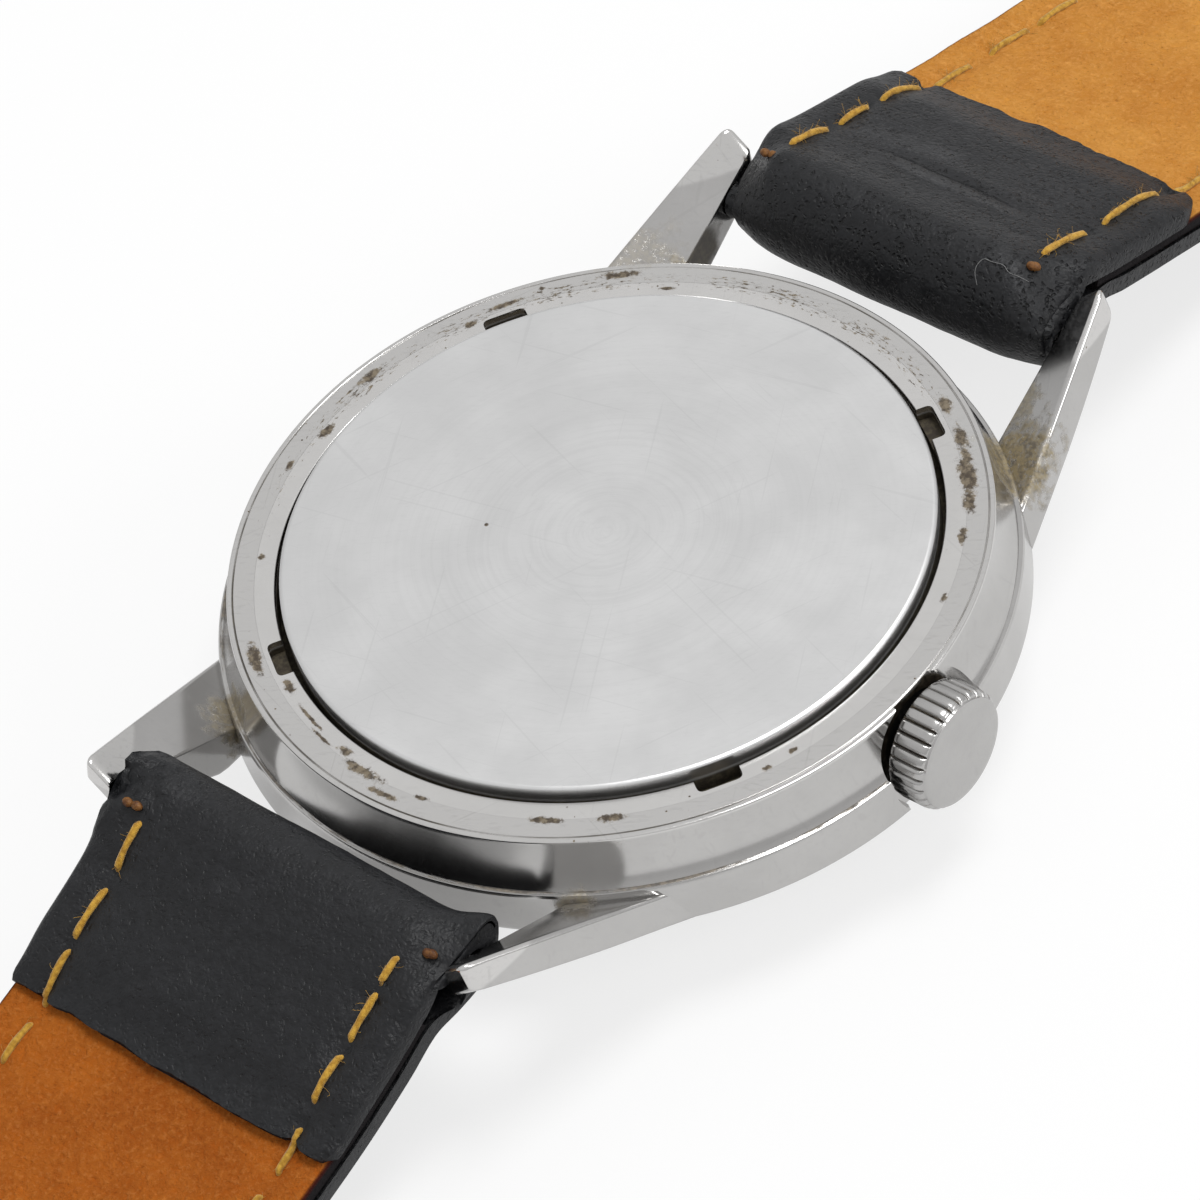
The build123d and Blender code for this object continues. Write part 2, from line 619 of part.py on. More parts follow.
with BuildPart() as train_bridge:
    with BuildSketch(Plane.XY.offset(bridge_z)):
        Circle(movement_r - bridge_inset)
        with Locations((0, bridge_split_y + bridge_split)):
            Rectangle(across, across, align=(Align.CENTER, Align.MAX), mode=Mode.SUBTRACT)
        with Locations(balance_at):
            Circle(balance_r + 0.25, mode=Mode.SUBTRACT)
        with Locations((train_bridge_x, 0)):
            Rectangle(across, across, align=(Align.MAX, Align.CENTER), mode=Mode.SUBTRACT)
        for place in (third_at, fourth_at, escape_at):
            with Locations(place):
                Circle(0.5, mode=Mode.SUBTRACT)
    extrude(amount=bridge_thickness)
save(train_bridge.part, "train_bridge")

crown_core_r = 0.7
with BuildPart() as balance_cock:
    with BuildSketch(Plane.XY.offset(bridge_z)):
        Circle(movement_r - 0.5)
        with Locations((0, cock_foot_y)):
            Rectangle(across, across, align=(Align.CENTER, Align.MIN), mode=Mode.SUBTRACT)
        with Locations((cock_foot_x, 0)):
            Rectangle(across, across, align=(Align.MIN, Align.CENTER), mode=Mode.SUBTRACT)
        with Locations((0, cock_foot_end_y)):
            Rectangle(across, across, align=(Align.CENTER, Align.MAX), mode=Mode.SUBTRACT)
    extrude(amount=cock_top_z - bridge_z)
    with BuildSketch(Plane.XY.offset(cock_arm_z)):
        draw_outline([(balance_x - 2.0, cock_foot_y - 1), (balance_x + 1.8, cock_foot_y - 1),
                      (balance_x + 1.1, balance_y), (balance_x - 1.1, balance_y)])
        with Locations(balance_at):
            Circle(1.35)
    extrude(amount=cock_top_z - cock_arm_z)
    disc(balance_at, 0.5, cock_arm_z, 1, mode=Mode.SUBTRACT)
save(balance_cock.part, "balance_cock")

bridge_line = direction(escape_at, balance_at)
pallet_feet = [polar(1.95, bridge_line + turn, pallet_at) for turn in (90, -90)]
with BuildPart() as pallet_bridge:
    with BuildSketch(Plane.XY.offset(train_floor_z + 0.45)):
        with Locations(Location((*pallet_at, 0), (0, 0, bridge_line + 90))):
            SlotCenterToCenter(3.9, 1.0)
        with Locations(pallet_at):
            Circle(pivot_r + 0.03, mode=Mode.SUBTRACT)
    extrude(amount=0.25)
    for foot in pallet_feet:
        disc(foot, 0.48, train_floor_z, 0.45)
save(pallet_bridge.part, "pallet_bridge")

jewel_places = [(third_at, bridge_z), (fourth_at, bridge_z), (escape_at, bridge_z),
                (balance_at, cock_arm_z)]
with BuildPart() as jewels:
    for place, height in jewel_places:
        disc(place, 0.49, height, 0.32)
        disc(place, pivot_r + 0.02, height, 0.32, mode=Mode.SUBTRACT)
save(jewels.part, "jewels")

bridge_top_z = bridge_z + bridge_thickness
screw_insets = [(1.36, -33.7), (2.93, -105.7), (1.27, -11.4), (2.06, 29.9), (1.5, 68.4), (1.38, 120.8)]
screw_places = [(polar(movement_r - inset, angle), bridge_top_z) for inset, angle in screw_insets]
screw_places.append((polar(movement_r - 2.57, -132.6), cock_top_z))
screw_head_r, screw_head = 0.75, 0.35
with BuildPart() as movement_screws:
    disc(crown_wheel_at, crown_core_r, bridge_top_z, winding_wheel + 0.06)
    screw_places.append((crown_wheel_at, winding_wheel_z + winding_wheel + 0.01))
    for place, seat in screw_places:
        disc(place, screw_head_r, seat, screw_head)
        with BuildSketch(Plane.XY.offset(seat + screw_head - 0.15)) as groove:
            with Locations(place):
                Rectangle(2 * screw_head_r + 0.1, 0.2, rotation=30)
        extrude(groove.sketch, amount=0.15, mode=Mode.SUBTRACT)
save(movement_screws.part, "movement_screws")

with BuildPart() as movement_ring:
    turned([(movement_r + fit_gap, plate_z), (movement_bore_r - fit_gap, plate_z),
            (movement_bore_r - fit_gap, gasket_seat_z - 0.1), (movement_r + fit_gap, gasket_seat_z - 0.1)])
    rod(stem_r + 0.2, movement_r - 1, movement_bore_r + 1, stem_z, mode=Mode.SUBTRACT)
save(movement_ring.part, "movement_ring")

# ---------------------------------------------------------------- movement: going train
with BuildPart() as barrel:
    disc(barrel_at, barrel_r, barrel_z, barrel_height)
    gear(barrel_at, barrel_teeth, barrel_pitch, barrel_z, 0.35)
    disc(barrel_at, barrel_r - barrel_wall, barrel_z + barrel_wall, barrel_height - 2 * barrel_wall,
         mode=Mode.SUBTRACT)
    disc(barrel_at, 0.65, barrel_z, barrel_height, mode=Mode.SUBTRACT)
save(barrel.part, "barrel")

with BuildPart() as mainspring:
    with BuildSketch(Plane.XY.offset(barrel_z + barrel_wall + fit_gap)) as coil:
        draw_band(barrel_at, 1.2, barrel_r - barrel_wall - 0.1, 0.14, 6)
    extrude(coil.sketch, amount=barrel_height - 2 * barrel_wall - 2 * fit_gap)
save(mainspring.part, "mainspring")

ratchet_z = winding_wheel_z
with BuildPart() as barrel_arbor:
    disc(barrel_at, 0.6, plate_z + 0.4, ratchet_z + winding_wheel - plate_z - 0.4)
    disc(barrel_at, 1.1, barrel_z + barrel_wall + fit_gap, barrel_height - 2 * barrel_wall - 2 * fit_gap)
    disc(barrel_at, 1.2, ratchet_z + winding_wheel, 0.3)
    with BuildSketch(Plane.XY.offset(ratchet_z + winding_wheel + 0.15)) as groove:
        with Locations(barrel_at):
            Rectangle(2.5, 0.25)
    extrude(groove.sketch, amount=0.15, mode=Mode.SUBTRACT)
save(barrel_arbor.part, "barrel_arbor")

centre_leaf_phase = mesh_phase(barrel_at, 0, barrel_teeth, centre_at, centre_leaves)
third_leaf_phase = mesh_phase(centre_at, 0, centre_teeth, third_at, third_leaves)
fourth_leaf_phase = mesh_phase(third_at, 0, third_teeth, fourth_at, fourth_leaves)
escape_leaf_phase = mesh_phase(fourth_at, 0, fourth_teeth, escape_at, escape_leaves)
upper_pivot_z = bridge_z + 0.3


def arbor(centre, radius, low, shoulder_z, top_z):
    """An arbor with a thinner upper pivot."""
    disc(centre, radius, low, shoulder_z - low)
    disc(centre, pivot_r, shoulder_z, top_z - shoulder_z)


with BuildPart() as centre_wheel:
    arbor(centre_at, 0.3, minute_hand_z + 0.1, bridge_z - fit_gap, upper_pivot_z)
    gear(centre_at, centre_teeth, centre_pitch, centre_wheel_z, wheel_thickness)
    spokes(centre_at, centre_pitch - 0.5, 0.8, centre_wheel_z, wheel_thickness, 5, 0.35)
    gear(centre_at, centre_leaves, centre_leaf_pitch, 5.0, 0.75, centre_leaf_phase)
save(centre_wheel.part, "centre_wheel")

with BuildPart() as third_wheel:
    disc(third_at, pivot_r, 5.0, 0.85)
    arbor(third_at, 0.2, train_floor_z + fit_gap, bridge_z - fit_gap, upper_pivot_z)
    gear(third_at, third_teeth, third_pitch, third_wheel_z, wheel_thickness)
    spokes(third_at, third_pitch - 0.5, 0.7, third_wheel_z, wheel_thickness, 4, 0.35)
    gear(third_at, third_leaves, third_leaf_pitch, 6.2, 0.6, third_leaf_phase)
save(third_wheel.part, "third_wheel")

with BuildPart() as fourth_wheel:
    disc(fourth_at, pivot_r, seconds_hand_z, fourth_floor_z + 0.1 - seconds_hand_z)
    arbor(fourth_at, 0.2, fourth_floor_z + fit_gap, bridge_z - fit_gap, upper_pivot_z)
    gear(fourth_at, fourth_teeth, fourth_pitch, fourth_wheel_z, wheel_thickness)
    spokes(fourth_at, fourth_pitch - 0.45, 0.7, fourth_wheel_z, wheel_thickness, 4, 0.35)
    gear(fourth_at, fourth_leaves, fourth_leaf_pitch, 5.75, 0.45, fourth_leaf_phase)
save(fourth_wheel.part, "fourth_wheel")

with BuildPart() as escape_wheel:
    disc(escape_at, pivot_r, 4.6, 0.65)
    arbor(escape_at, 0.18, fourth_floor_z - 0.1, bridge_z - fit_gap, upper_pivot_z)
    with BuildSketch(Plane.XY.offset(escape_wheel_z)) as rim:
        points = []
        for i in range(escape_teeth):
            angle = 360 * i / escape_teeth
            points.append(polar(escape_r - 0.55, angle - 9, escape_at))
            points.append(polar(escape_r, angle, escape_at))
            points.append(polar(escape_r - 0.05, angle + 3, escape_at))
        draw_outline(points)
    extrude(rim.sketch, amount=wheel_thickness)
    spokes(escape_at, escape_r - 0.75, 0.45, escape_wheel_z, wheel_thickness, 4, 0.25)
    gear(escape_at, escape_leaves, escape_leaf_pitch, 5.3, 0.45, escape_leaf_phase)
save(escape_wheel.part, "escape_wheel")

# ---------------------------------------------------------------- movement: escapement and balance
fork_line = direction(pallet_at, balance_at)
roller_pin_r = 0.42
fork_reach = hypot(balance_at[0] - pallet_at[0], balance_at[1] - pallet_at[1]) - roller_pin_r
pallet_r = escape_r + 0.12
fork_z, fork_thickness = escape_wheel_z, 0.15
with BuildPart() as pallet_fork:
    with BuildSketch(Plane.XY.offset(fork_z)) as lever:
        with Locations(Location((*pallet_at, 0), (0, 0, fork_line))):
            Rectangle(fork_reach + 0.1, 0.4, align=(Align.MIN, Align.CENTER))
        with Locations(pallet_at):
            Circle(0.45)
        with Locations(Location((*polar(fork_reach, fork_line, pallet_at), 0), (0, 0, fork_line))):
            Rectangle(0.5, 0.8)
            Rectangle(0.6, 0.24, mode=Mode.SUBTRACT)
        for turn in (-1, 1):
            stone = polar(pallet_r, bridge_line + 33 * turn, escape_at)
            arm_line = direction(pallet_at, stone)
            with Locations(Location((*pallet_at, 0), (0, 0, arm_line))):
                Rectangle(hypot(stone[0] - pallet_at[0], stone[1] - pallet_at[1]), 0.3,
                          align=(Align.MIN, Align.CENTER))
        with Locations(escape_at):
            Circle(escape_r + 0.05, mode=Mode.SUBTRACT)
    extrude(lever.sketch, amount=fork_thickness)
    arbor(pallet_at, pivot_r, 5.0, 6.3, 6.5)
save(pallet_fork.part, "pallet_fork")

balance_thickness = 0.28
with BuildPart() as balance_wheel:
    arbor(balance_at, 0.25, train_floor_z + fit_gap, cock_arm_z - fit_gap, cock_arm_z + 0.3)
    disc(balance_at, pivot_r, 5.2, 0.8)
    disc(balance_at, balance_r, balance_z, balance_thickness)
    spokes(balance_at, balance_r - balance_rim, 0.7, balance_z, balance_thickness, 3, 0.45)
    disc(balance_at, 0.6, fork_z + fork_thickness + 0.15, 0.15)
    disc(polar(roller_pin_r, fork_line + 180, balance_at), 0.1, fork_z + fork_thickness + 0.05, 0.15)
save(balance_wheel.part, "balance_wheel")

with BuildPart() as hairspring:
    with BuildSketch(Plane.XY.offset(hairspring_z)) as coil:
        draw_band(balance_at, 0.36, 2.2, 0.09, 5, start=-60)
    extrude(coil.sketch, amount=0.12)
    disc(polar(2.2, -60, balance_at), 0.14, hairspring_z, cock_arm_z - hairspring_z)
save(hairspring.part, "hairspring")

# ---------------------------------------------------------------- motion work
cannon_r, cannon_bore_r = 0.6, 0.3 + fit_gap / 2
hour_tube_r = 0.95
minute_phase = mesh_phase(centre_at, 0, cannon_teeth, minute_at, minute_teeth)
hour_phase = mesh_phase(minute_at, 0, minute_leaves, centre_at, hour_teeth)
setting_phase = mesh_phase(minute_at, minute_phase, minute_teeth, setting_at, setting_teeth)
with BuildPart() as cannon_pinion:
    disc(centre_at, cannon_r, minute_hand_z, motion_wheel_z + wheel_thickness - minute_hand_z)
    gear(centre_at, cannon_teeth, cannon_pitch, motion_wheel_z, wheel_thickness + fit_gap)
    disc(centre_at, cannon_bore_r, minute_hand_z, 3, mode=Mode.SUBTRACT)
save(cannon_pinion.part, "cannon_pinion")

with BuildPart() as minute_wheel:
    gear(minute_at, minute_teeth, minute_pitch, motion_wheel_z, wheel_thickness, minute_phase)
    gear(minute_at, minute_leaves, minute_leaf_pitch, hour_wheel_z - 0.03, motion_wheel_z - hour_wheel_z + 0.03)
    disc(minute_at, 0.35, motion_wheel_z, 1.2)
save(minute_wheel.part, "minute_wheel")

with BuildPart() as hour_wheel:
    disc(centre_at, hour_tube_r, hour_hand_z, hour_wheel_z + wheel_thickness - hour_hand_z)
    gear(centre_at, hour_teeth, hour_pitch, hour_wheel_z, wheel_thickness, hour_phase)
    disc(centre_at, cannon_r + fit_gap, hour_hand_z, 3, mode=Mode.SUBTRACT)
save(hour_wheel.part, "hour_wheel")

# ---------------------------------------------------------------- winding and setting works
with BuildPart() as setting_wheel:
    gear(setting_at, setting_teeth, setting_pitch, 4.45, 0.5, setting_phase)
    disc(setting_at, 0.35, 4.45, 1.3)
save(setting_wheel.part, "setting_wheel")

with BuildPart() as crown_wheel:
    gear(crown_wheel_at, crown_wheel_teeth, crown_wheel_pitch, winding_wheel_z, winding_wheel)
    disc(crown_wheel_at, crown_core_r + fit_gap, winding_wheel_z, winding_wheel, mode=Mode.SUBTRACT)
save(crown_wheel.part, "crown_wheel")

ratchet_phase = mesh_phase(crown_wheel_at, 0, crown_wheel_teeth, barrel_at, ratchet_teeth)
with BuildPart() as ratchet_wheel:
    gear(barrel_at, ratchet_teeth, ratchet_pitch, ratchet_z, winding_wheel, ratchet_phase)
    disc(barrel_at, 0.6, ratchet_z, winding_wheel, mode=Mode.SUBTRACT)
save(ratchet_wheel.part, "ratchet_wheel")

ratchet_tip = ratchet_pitch * (1 + 2 * addendum / ratchet_teeth)
click_pivot = polar(ratchet_tip + 1.35, 194, barrel_at)
click_tip = polar(ratchet_tip + fit_gap, 183, barrel_at)
click_z, click_thickness = bridge_top_z + fit_gap, 0.3
with BuildPart() as click:
    with BuildSketch(Plane.XY.offset(click_z)) as pawl:
        draw_outline([polar(0.7, 40, click_pivot), click_tip, polar(0.7, 130, click_pivot)])
        with Locations(click_pivot):
            Circle(0.75)
    extrude(pawl.sketch, amount=click_thickness)
save(click.part, "click")

pinion_bore_r = stem_r + fit_gap
with BuildPart() as winding_pinion:
    with BuildSketch(Plane.YZ.offset(winding_x)) as teeth:
        with Locations((0, stem_z)):
            Circle(winding_tip - 0.25)
        draw_gear((0, stem_z), winding_teeth, winding_tip - 0.15, 90)
        with Locations((0, stem_z)):
            Circle(pinion_bore_r, mode=Mode.SUBTRACT)
    extrude(teeth.sketch, amount=winding_length)
save(winding_pinion.part, "winding_pinion")

with BuildPart() as clutch:
    rod(clutch_r, clutch_x, clutch_end_x, stem_z)
    with BuildSketch(Plane.YZ.offset(clutch_groove_x - 0.25)) as groove:
        with Locations((0, stem_z)):
            Circle(clutch_r + 0.1)
            Circle(clutch_groove_r, mode=Mode.SUBTRACT)
    extrude(groove.sketch, amount=0.5, mode=Mode.SUBTRACT)
    with BuildSketch(Plane.YZ.offset(clutch_x)) as notches:
        with Locations((0, stem_z)):
            with PolarLocations(clutch_r, 8):
                Rectangle(0.5, 0.35)
    extrude(notches.sketch, amount=0.2, mode=Mode.SUBTRACT)
    extrude(notches.sketch.moved(Location((clutch_end_x - clutch_x - 0.2, 0, 0))), amount=0.2,
            mode=Mode.SUBTRACT)
    rod(pinion_bore_r, clutch_x, clutch_end_x, stem_z, mode=Mode.SUBTRACT)
save(clutch.part, "clutch")

lever_z, lever_thickness = 4.08, 0.32
lever_pin_r = 0.2


def lever(pivot, pin, width, pin_top_z):
    """A flat lever with a pivot stub and a pin that rides in a groove."""
    with BuildSketch(Plane.XY.offset(lever_z)) as plate:
        reach = hypot(pin[0] - pivot[0], pin[1] - pivot[1])
        with Locations(Location((*pivot, 0), (0, 0, direction(pivot, pin)))):
            Rectangle(reach, width, align=(Align.MIN, Align.CENTER))
        with Locations(pivot):
            Circle(width * 0.8)
        with Locations(pin):
            Circle(width / 2)
    extrude(plate.sketch, amount=lever_thickness)
    disc(pivot, 0.35, lever_z + lever_thickness, 0.8)
    disc(pin, lever_pin_r, lever_z + lever_thickness, pin_top_z - lever_z - lever_thickness)


with BuildPart() as setting_lever:
    lever(lever_pivot, (lever_groove_x, 0), 0.75, stem_z - stem_r + 0.07)
save(setting_lever.part, "setting_lever")

with BuildPart() as yoke:
    lever(yoke_pivot, (clutch_groove_x, 0), 0.75, stem_z - clutch_groove_r - 0.15)
save(yoke.part, "yoke")

# ---------------------------------------------------------------- dial and hands
sub_dial_r = 3.5
hand_hub = 0.35
with BuildPart() as dial:
    disc(centre_at, dial_r, dial_seat_z, dial_thickness)
    disc(fourth_at, sub_dial_r, dial_seat_z, 0.08, mode=Mode.SUBTRACT)
    disc(centre_at, hour_tube_r + 0.15, dial_seat_z, dial_thickness, mode=Mode.SUBTRACT)
    disc(fourth_at, pivot_r + 0.1, dial_seat_z, dial_thickness, mode=Mode.SUBTRACT)
save(dial.part, "dial")

with BuildPart() as hour_markers:
    with BuildSketch(Plane.XY.offset(dial_seat_z - marker_thickness)) as batons:
        for hour in range(12):
            inner = marker_inner_r + (0.6 if hour == 0 else 0)
            with Locations(Location((0, 0, 0), (0, 0, 90 + 30 * hour))):
                with Locations((inner, 0)):
                    Rectangle(marker_outer_r - inner, 0.8 if hour % 3 == 0 else 0.5,
                              align=(Align.MIN, Align.CENTER))
    extrude(batons.sketch, amount=marker_thickness)
save(hour_markers.part, "hour_markers")


def hand(centre, angle, length, hub, bore, low):
    """A flat tapered hand with its hub."""
    with BuildSketch(Plane.XY.offset(low)) as blade:
        draw_outline([polar(length, angle, centre), polar(length * 0.45, angle + 5, centre),
                      polar(hub * 1.2, angle + 160, centre), polar(hub * 1.2, angle - 160, centre),
                      polar(length * 0.45, angle - 5, centre)])
        with Locations(centre):
            Circle(hub)
            Circle(bore, mode=Mode.SUBTRACT)
    extrude(blade.sketch, amount=hand_thickness)


with BuildPart() as hour_hand:
    hand(centre_at, 205, hour_hand_length, hour_tube_r + hand_hub, hour_tube_r, hour_hand_z)
save(hour_hand.part, "hour_hand")

with BuildPart() as minute_hand:
    hand(centre_at, -30, minute_hand_length, cannon_r + hand_hub, cannon_r, minute_hand_z)
save(minute_hand.part, "minute_hand")

with BuildPart() as seconds_hand:
    hand(fourth_at, 60, seconds_hand_length, pivot_r + hand_hub, pivot_r, seconds_hand_z)
save(seconds_hand.part, "seconds_hand")

# ---------------------------------------------------------------- spring bars
bar_length = lug_gap - 0.6
bar_bore_r = bar_pin_r + 0.04
for side, name in ((-1, "12"), (1, "6")):
    with BuildPart() as spring_bar:
        rod(bar_r, -bar_length / 2, bar_length / 2, bar_z, y=side * bar_y)
        for end in (-1, 1):
            rod(bar_bore_r, end * (lug_gap / 2 + bar_pin_reach - bar_pin_length - 1.1), end * bar_length,
                bar_z, mode=Mode.SUBTRACT, y=side * bar_y)
    save(spring_bar.part, f"spring_bar_{name}")
    for end, end_name in ((-1, "left"), (1, "right")):
        pin_end = end * (lug_gap / 2 + bar_pin_reach)
        with BuildPart() as bar_pin:
            rod(bar_pin_r, pin_end - end * bar_pin_length, pin_end, bar_z, y=side * bar_y)
        save(bar_pin.part, f"bar_pin_{name}_{end_name}")


# ---------------------------------------------------------------- strap
def side_plane_of(side):
    """The middle plane of a strap half: x runs away from the case, y up."""
    return Plane(origin=(0, 0, 0), x_dir=(0, side, 0), z_dir=(side, 0, 0))


def face_points(route, distance, count=10):
    """Points along a face that lies at a distance from a route."""
    return [(route @ (i / count)) + (route % (i / count)).rotate(Axis.Z, 90) * distance
            for i in range(count + 1)]


def layer(route, low, high):
    """Fill the strip between two distances from a route in the open sketch."""
    with BuildLine() as strip:
        lower = Spline(*face_points(route, low))
        upper = Spline(*face_points(route, high))
        Line(lower @ 0, upper @ 0)
        Line(lower @ 1, upper @ 1)
    make_face(strip.edges())


def level_layer(start, end, low, high):
    """Fill a level strip between two heights in the open sketch."""
    draw_outline([(start, low), (end, low), (end, high), (start, high)])


def loop(bar, start, heading, radius, half, mode=Mode.ADD):
    """Fill the teardrop from a round bar to the point where a strap's layers meet."""
    normal = Vector(-sin(radians(heading)), cos(radians(heading)))
    ahead = Vector(cos(radians(heading)), sin(radians(heading)))
    middle, meet = Vector(*bar), Vector(*start)
    with BuildLine() as drop:
        ThreePointArc(middle + normal * radius, middle - ahead * radius, middle - normal * radius)
        Spline(middle + normal * radius, meet + normal * half, tangents=(ahead, ahead))
        Spline(middle - normal * radius, meet - normal * half, tangents=(ahead, ahead))
        Line(meet + normal * half, meet - normal * half)
    make_face(drop.edges(), mode=mode)


def strap_plan(side, end_y, pointed):
    """Trim the open part to a strap half's outline seen from above."""
    half, end_half = strap_width / 2, strap_end_width / 2
    straight_y = end_y - tip_length if pointed else end_y
    with BuildSketch(Plane.XY.offset(-1)) as plan:
        with BuildLine() as outline:
            sides = Polyline((end_half, side * straight_y), (end_half, side * narrow_y),
                             (half, side * full_width_y), (half, side * (bar_y - 3)),
                             (-half, side * (bar_y - 3)), (-half, side * full_width_y),
                             (-end_half, side * narrow_y), (-end_half, side * straight_y))
            if pointed:
                tip = (0, side * end_y)
                bulge_y = side * (end_y - 0.3 * tip_length)
                ThreePointArc(sides @ 1, (-0.66 * end_half, bulge_y), tip)
                ThreePointArc(tip, (0.66 * end_half, bulge_y), sides @ 0)
            else:
                Line(sides @ 1, sides @ 0)
        make_face(outline.edges())
    extrude(plan.sketch, amount=14, mode=Mode.INTERSECT)


bar_point = (bar_y, bar_z)
loop_outer_r = loop_r + leather
strap_halves = {
    "6": (1, long_route, bar_z + long_rise, long_flat_y, flat_z, long_strap_y, True),
    "12": (-1, short_route, bar_z + short_rise, short_flat_y, buckle_bar_z,
           short_strap_y - buckle_loop_run, False),
}
hole_ys = [long_strap_y - first_hole_from_tip - hole_pitch * i for i in range(hole_count)]
buckle_loop_r = buckle_bar_r + 0.1
for name, (side, descent, meet_z, flat_y, height, end_y, pointed) in strap_halves.items():
    points = [(bar_y + run, height + left * (meet_z - height)) for run, left in descent]
    heading = direction(points[0], points[1])
    with BuildLine() as route:
        Spline(*points, (flat_y, height), tangents=(polar(1, heading), (1, 0)))
    route = route.edge()
    flap = route.trim(0, flap_run / route.length)
    with BuildPart() as strap_leather:
        with BuildSketch(side_plane_of(side)) as section:
            layer(route, -half_strap, -lining / 2)
            layer(flap, lining / 2, half_strap)
            level_layer(flat_y, end_y, height - half_strap, height - lining / 2)
            loop(bar_point, points[0], heading, loop_outer_r, half_strap)
            loop(bar_point, points[0], heading, loop_r, lining / 2, mode=Mode.SUBTRACT)
            if not pointed:
                # loop and turned-back end at the buckle
                buckle_point = (short_strap_y, height)
                level_layer(buckle_flap_y, end_y, height + lining / 2, height + half_strap)
                loop(buckle_point, (end_y, height), 180, buckle_loop_r + leather, half_strap)
                loop(buckle_point, (end_y, height), 180, buckle_loop_r, lining / 2, mode=Mode.SUBTRACT)
        extrude(section.sketch, amount=strap_width / 2, both=True)
        strap_plan(side, end_y if pointed else short_strap_y + 5, pointed)
        edge_point = face_points(flap, half_strap - leather / 2)[-1]
        for x in (-strap_width / 2, strap_width / 2):
            corner = strap_leather.edges().sort_by_distance((x, side * edge_point.X, edge_point.Y))[0]
            fillet(corner, radius=flap_corner)
        if pointed:
            for hole_y in hole_ys:
                disc((0, side * hole_y), hole_r, -1, 9, mode=Mode.SUBTRACT)
        else:
            with BuildSketch(Plane.XY.offset(-1)) as slot:
                with Locations((0, side * (short_strap_y + 3))):
                    Rectangle(tang_width + 0.5, 7, align=(Align.CENTER, Align.MIN))
            extrude(slot.sketch, amount=14, mode=Mode.SUBTRACT)
    save(strap_leather.part, f"strap_{name}_leather")
    with BuildPart() as strap_lining:
        with BuildSketch(side_plane_of(side)) as section:
            layer(route, -lining / 2, lining / 2)
            level_layer(flat_y, end_y, height - lining / 2, height + lining / 2)
        extrude(section.sketch, amount=strap_width / 2, both=True)
        strap_plan(side, end_y, pointed)
        if pointed:
            for hole_y in hole_ys:
                disc((0, side * hole_y), hole_r, -1, 9, mode=Mode.SUBTRACT)
    save(strap_lining.part, f"strap_{name}_lining")

# ---------------------------------------------------------------- buckle and keepers
eye_length = 1.4
frame_low_z = buckle_bar_z - buckle_thickness / 2
frame_half = buckle_inner_width / 2 + buckle_frame
frame_end_y = short_strap_y + buckle_inner_length + buckle_frame
bar_hold = 1.0
with BuildPart() as buckle:
    with BuildSketch(Plane.XY.offset(frame_low_z)):
        with Locations((0, -frame_end_y)):
            Rectangle(2 * frame_half, frame_end_y - short_strap_y + eye_length,
                      align=(Align.CENTER, Align.MIN))
        with Locations((0, -frame_end_y + buckle_frame)):
            Rectangle(buckle_inner_width, 2 * buckle_inner_length, align=(Align.CENTER, Align.MIN),
                      mode=Mode.SUBTRACT)
    extrude(amount=buckle_thickness)
    fillet(buckle.edges().filter_by(Axis.Z).group_by(Axis.Y)[0], radius=buckle_corner)
    chamfer(buckle.faces().sort_by(Axis.Z)[-1].outer_wire().edges(), length=0.4)
    for end in (-1, 1):
        rod(buckle_bar_r + 0.02, end * (buckle_inner_width / 2 - 0.2),
            end * (buckle_inner_width / 2 + bar_hold), buckle_bar_z, mode=Mode.SUBTRACT, y=-short_strap_y)
save(buckle.part, "buckle")

with BuildPart() as buckle_bar:
    bar_half = buckle_inner_width / 2 + bar_hold - fit_gap
    rod(buckle_bar_r, -bar_half, bar_half, buckle_bar_z, y=-short_strap_y)
save(buckle_bar.part, "buckle_bar")

tang_top_z = frame_low_z - fit_gap
tang_low_z = tang_top_z - tang_thickness
tang_ring_r = 1.35
with BuildPart() as tang:
    with BuildSketch(side_plane_of(-1)) as profile:
        draw_outline([(short_strap_y - 0.5, buckle_bar_z - tang_ring_r + 0.1),
                      (short_strap_y + 1.2, tang_low_z), (frame_end_y + 0.3, tang_low_z),
                      (frame_end_y + 0.6, tang_low_z + tang_thickness / 2), (frame_end_y, tang_top_z),
                      (short_strap_y + 1.6, tang_top_z), (short_strap_y + 1.2, buckle_bar_z)])
        with Locations((short_strap_y, buckle_bar_z)):
            Circle(tang_ring_r)
            Circle(buckle_bar_r + fit_gap, mode=Mode.SUBTRACT)
    extrude(profile.sketch, amount=tang_width / 2, both=True)
save(tang.part, "tang")


def keeper(at_y, strap_top_z, name):
    """A leather band round the strap with room for the other half on the outer side."""
    low, high = buckle_bar_z - half_strap - keeper_room, strap_top_z + fit_gap
    with BuildPart() as band:
        with BuildSketch(Plane.XZ.offset(at_y)):
            with Locations((0, (low + high) / 2)):
                inside = strap_end_width + 2 * keeper_gap
                RectangleRounded(inside + 2 * keeper_wall, high - low + 2 * keeper_wall, keeper_wall)
                Rectangle(inside, high - low, mode=Mode.SUBTRACT)
        extrude(amount=keeper_length / 2, both=True)
    save(band.part, name)


keeper(fixed_keeper_y, buckle_bar_z + half_strap, "fixed_keeper")
keeper(free_keeper_y, buckle_bar_z + lining / 2, "free_keeper")
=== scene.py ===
"""Looks of a gentleman's hand-wound wristwatch that lies dial down on its leather strap.

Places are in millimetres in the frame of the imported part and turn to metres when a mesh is
made. The +y half of the strap is the 6 o'clock half, the -y half the 12 o'clock one.
"""

import random
from functools import reduce
from math import cos, exp, hypot, pi, radians, sin, sqrt
from operator import or_

import bmesh
import bpy
from mathutils import Matrix, Vector, noise
from mathutils.bvhtree import BVHTree


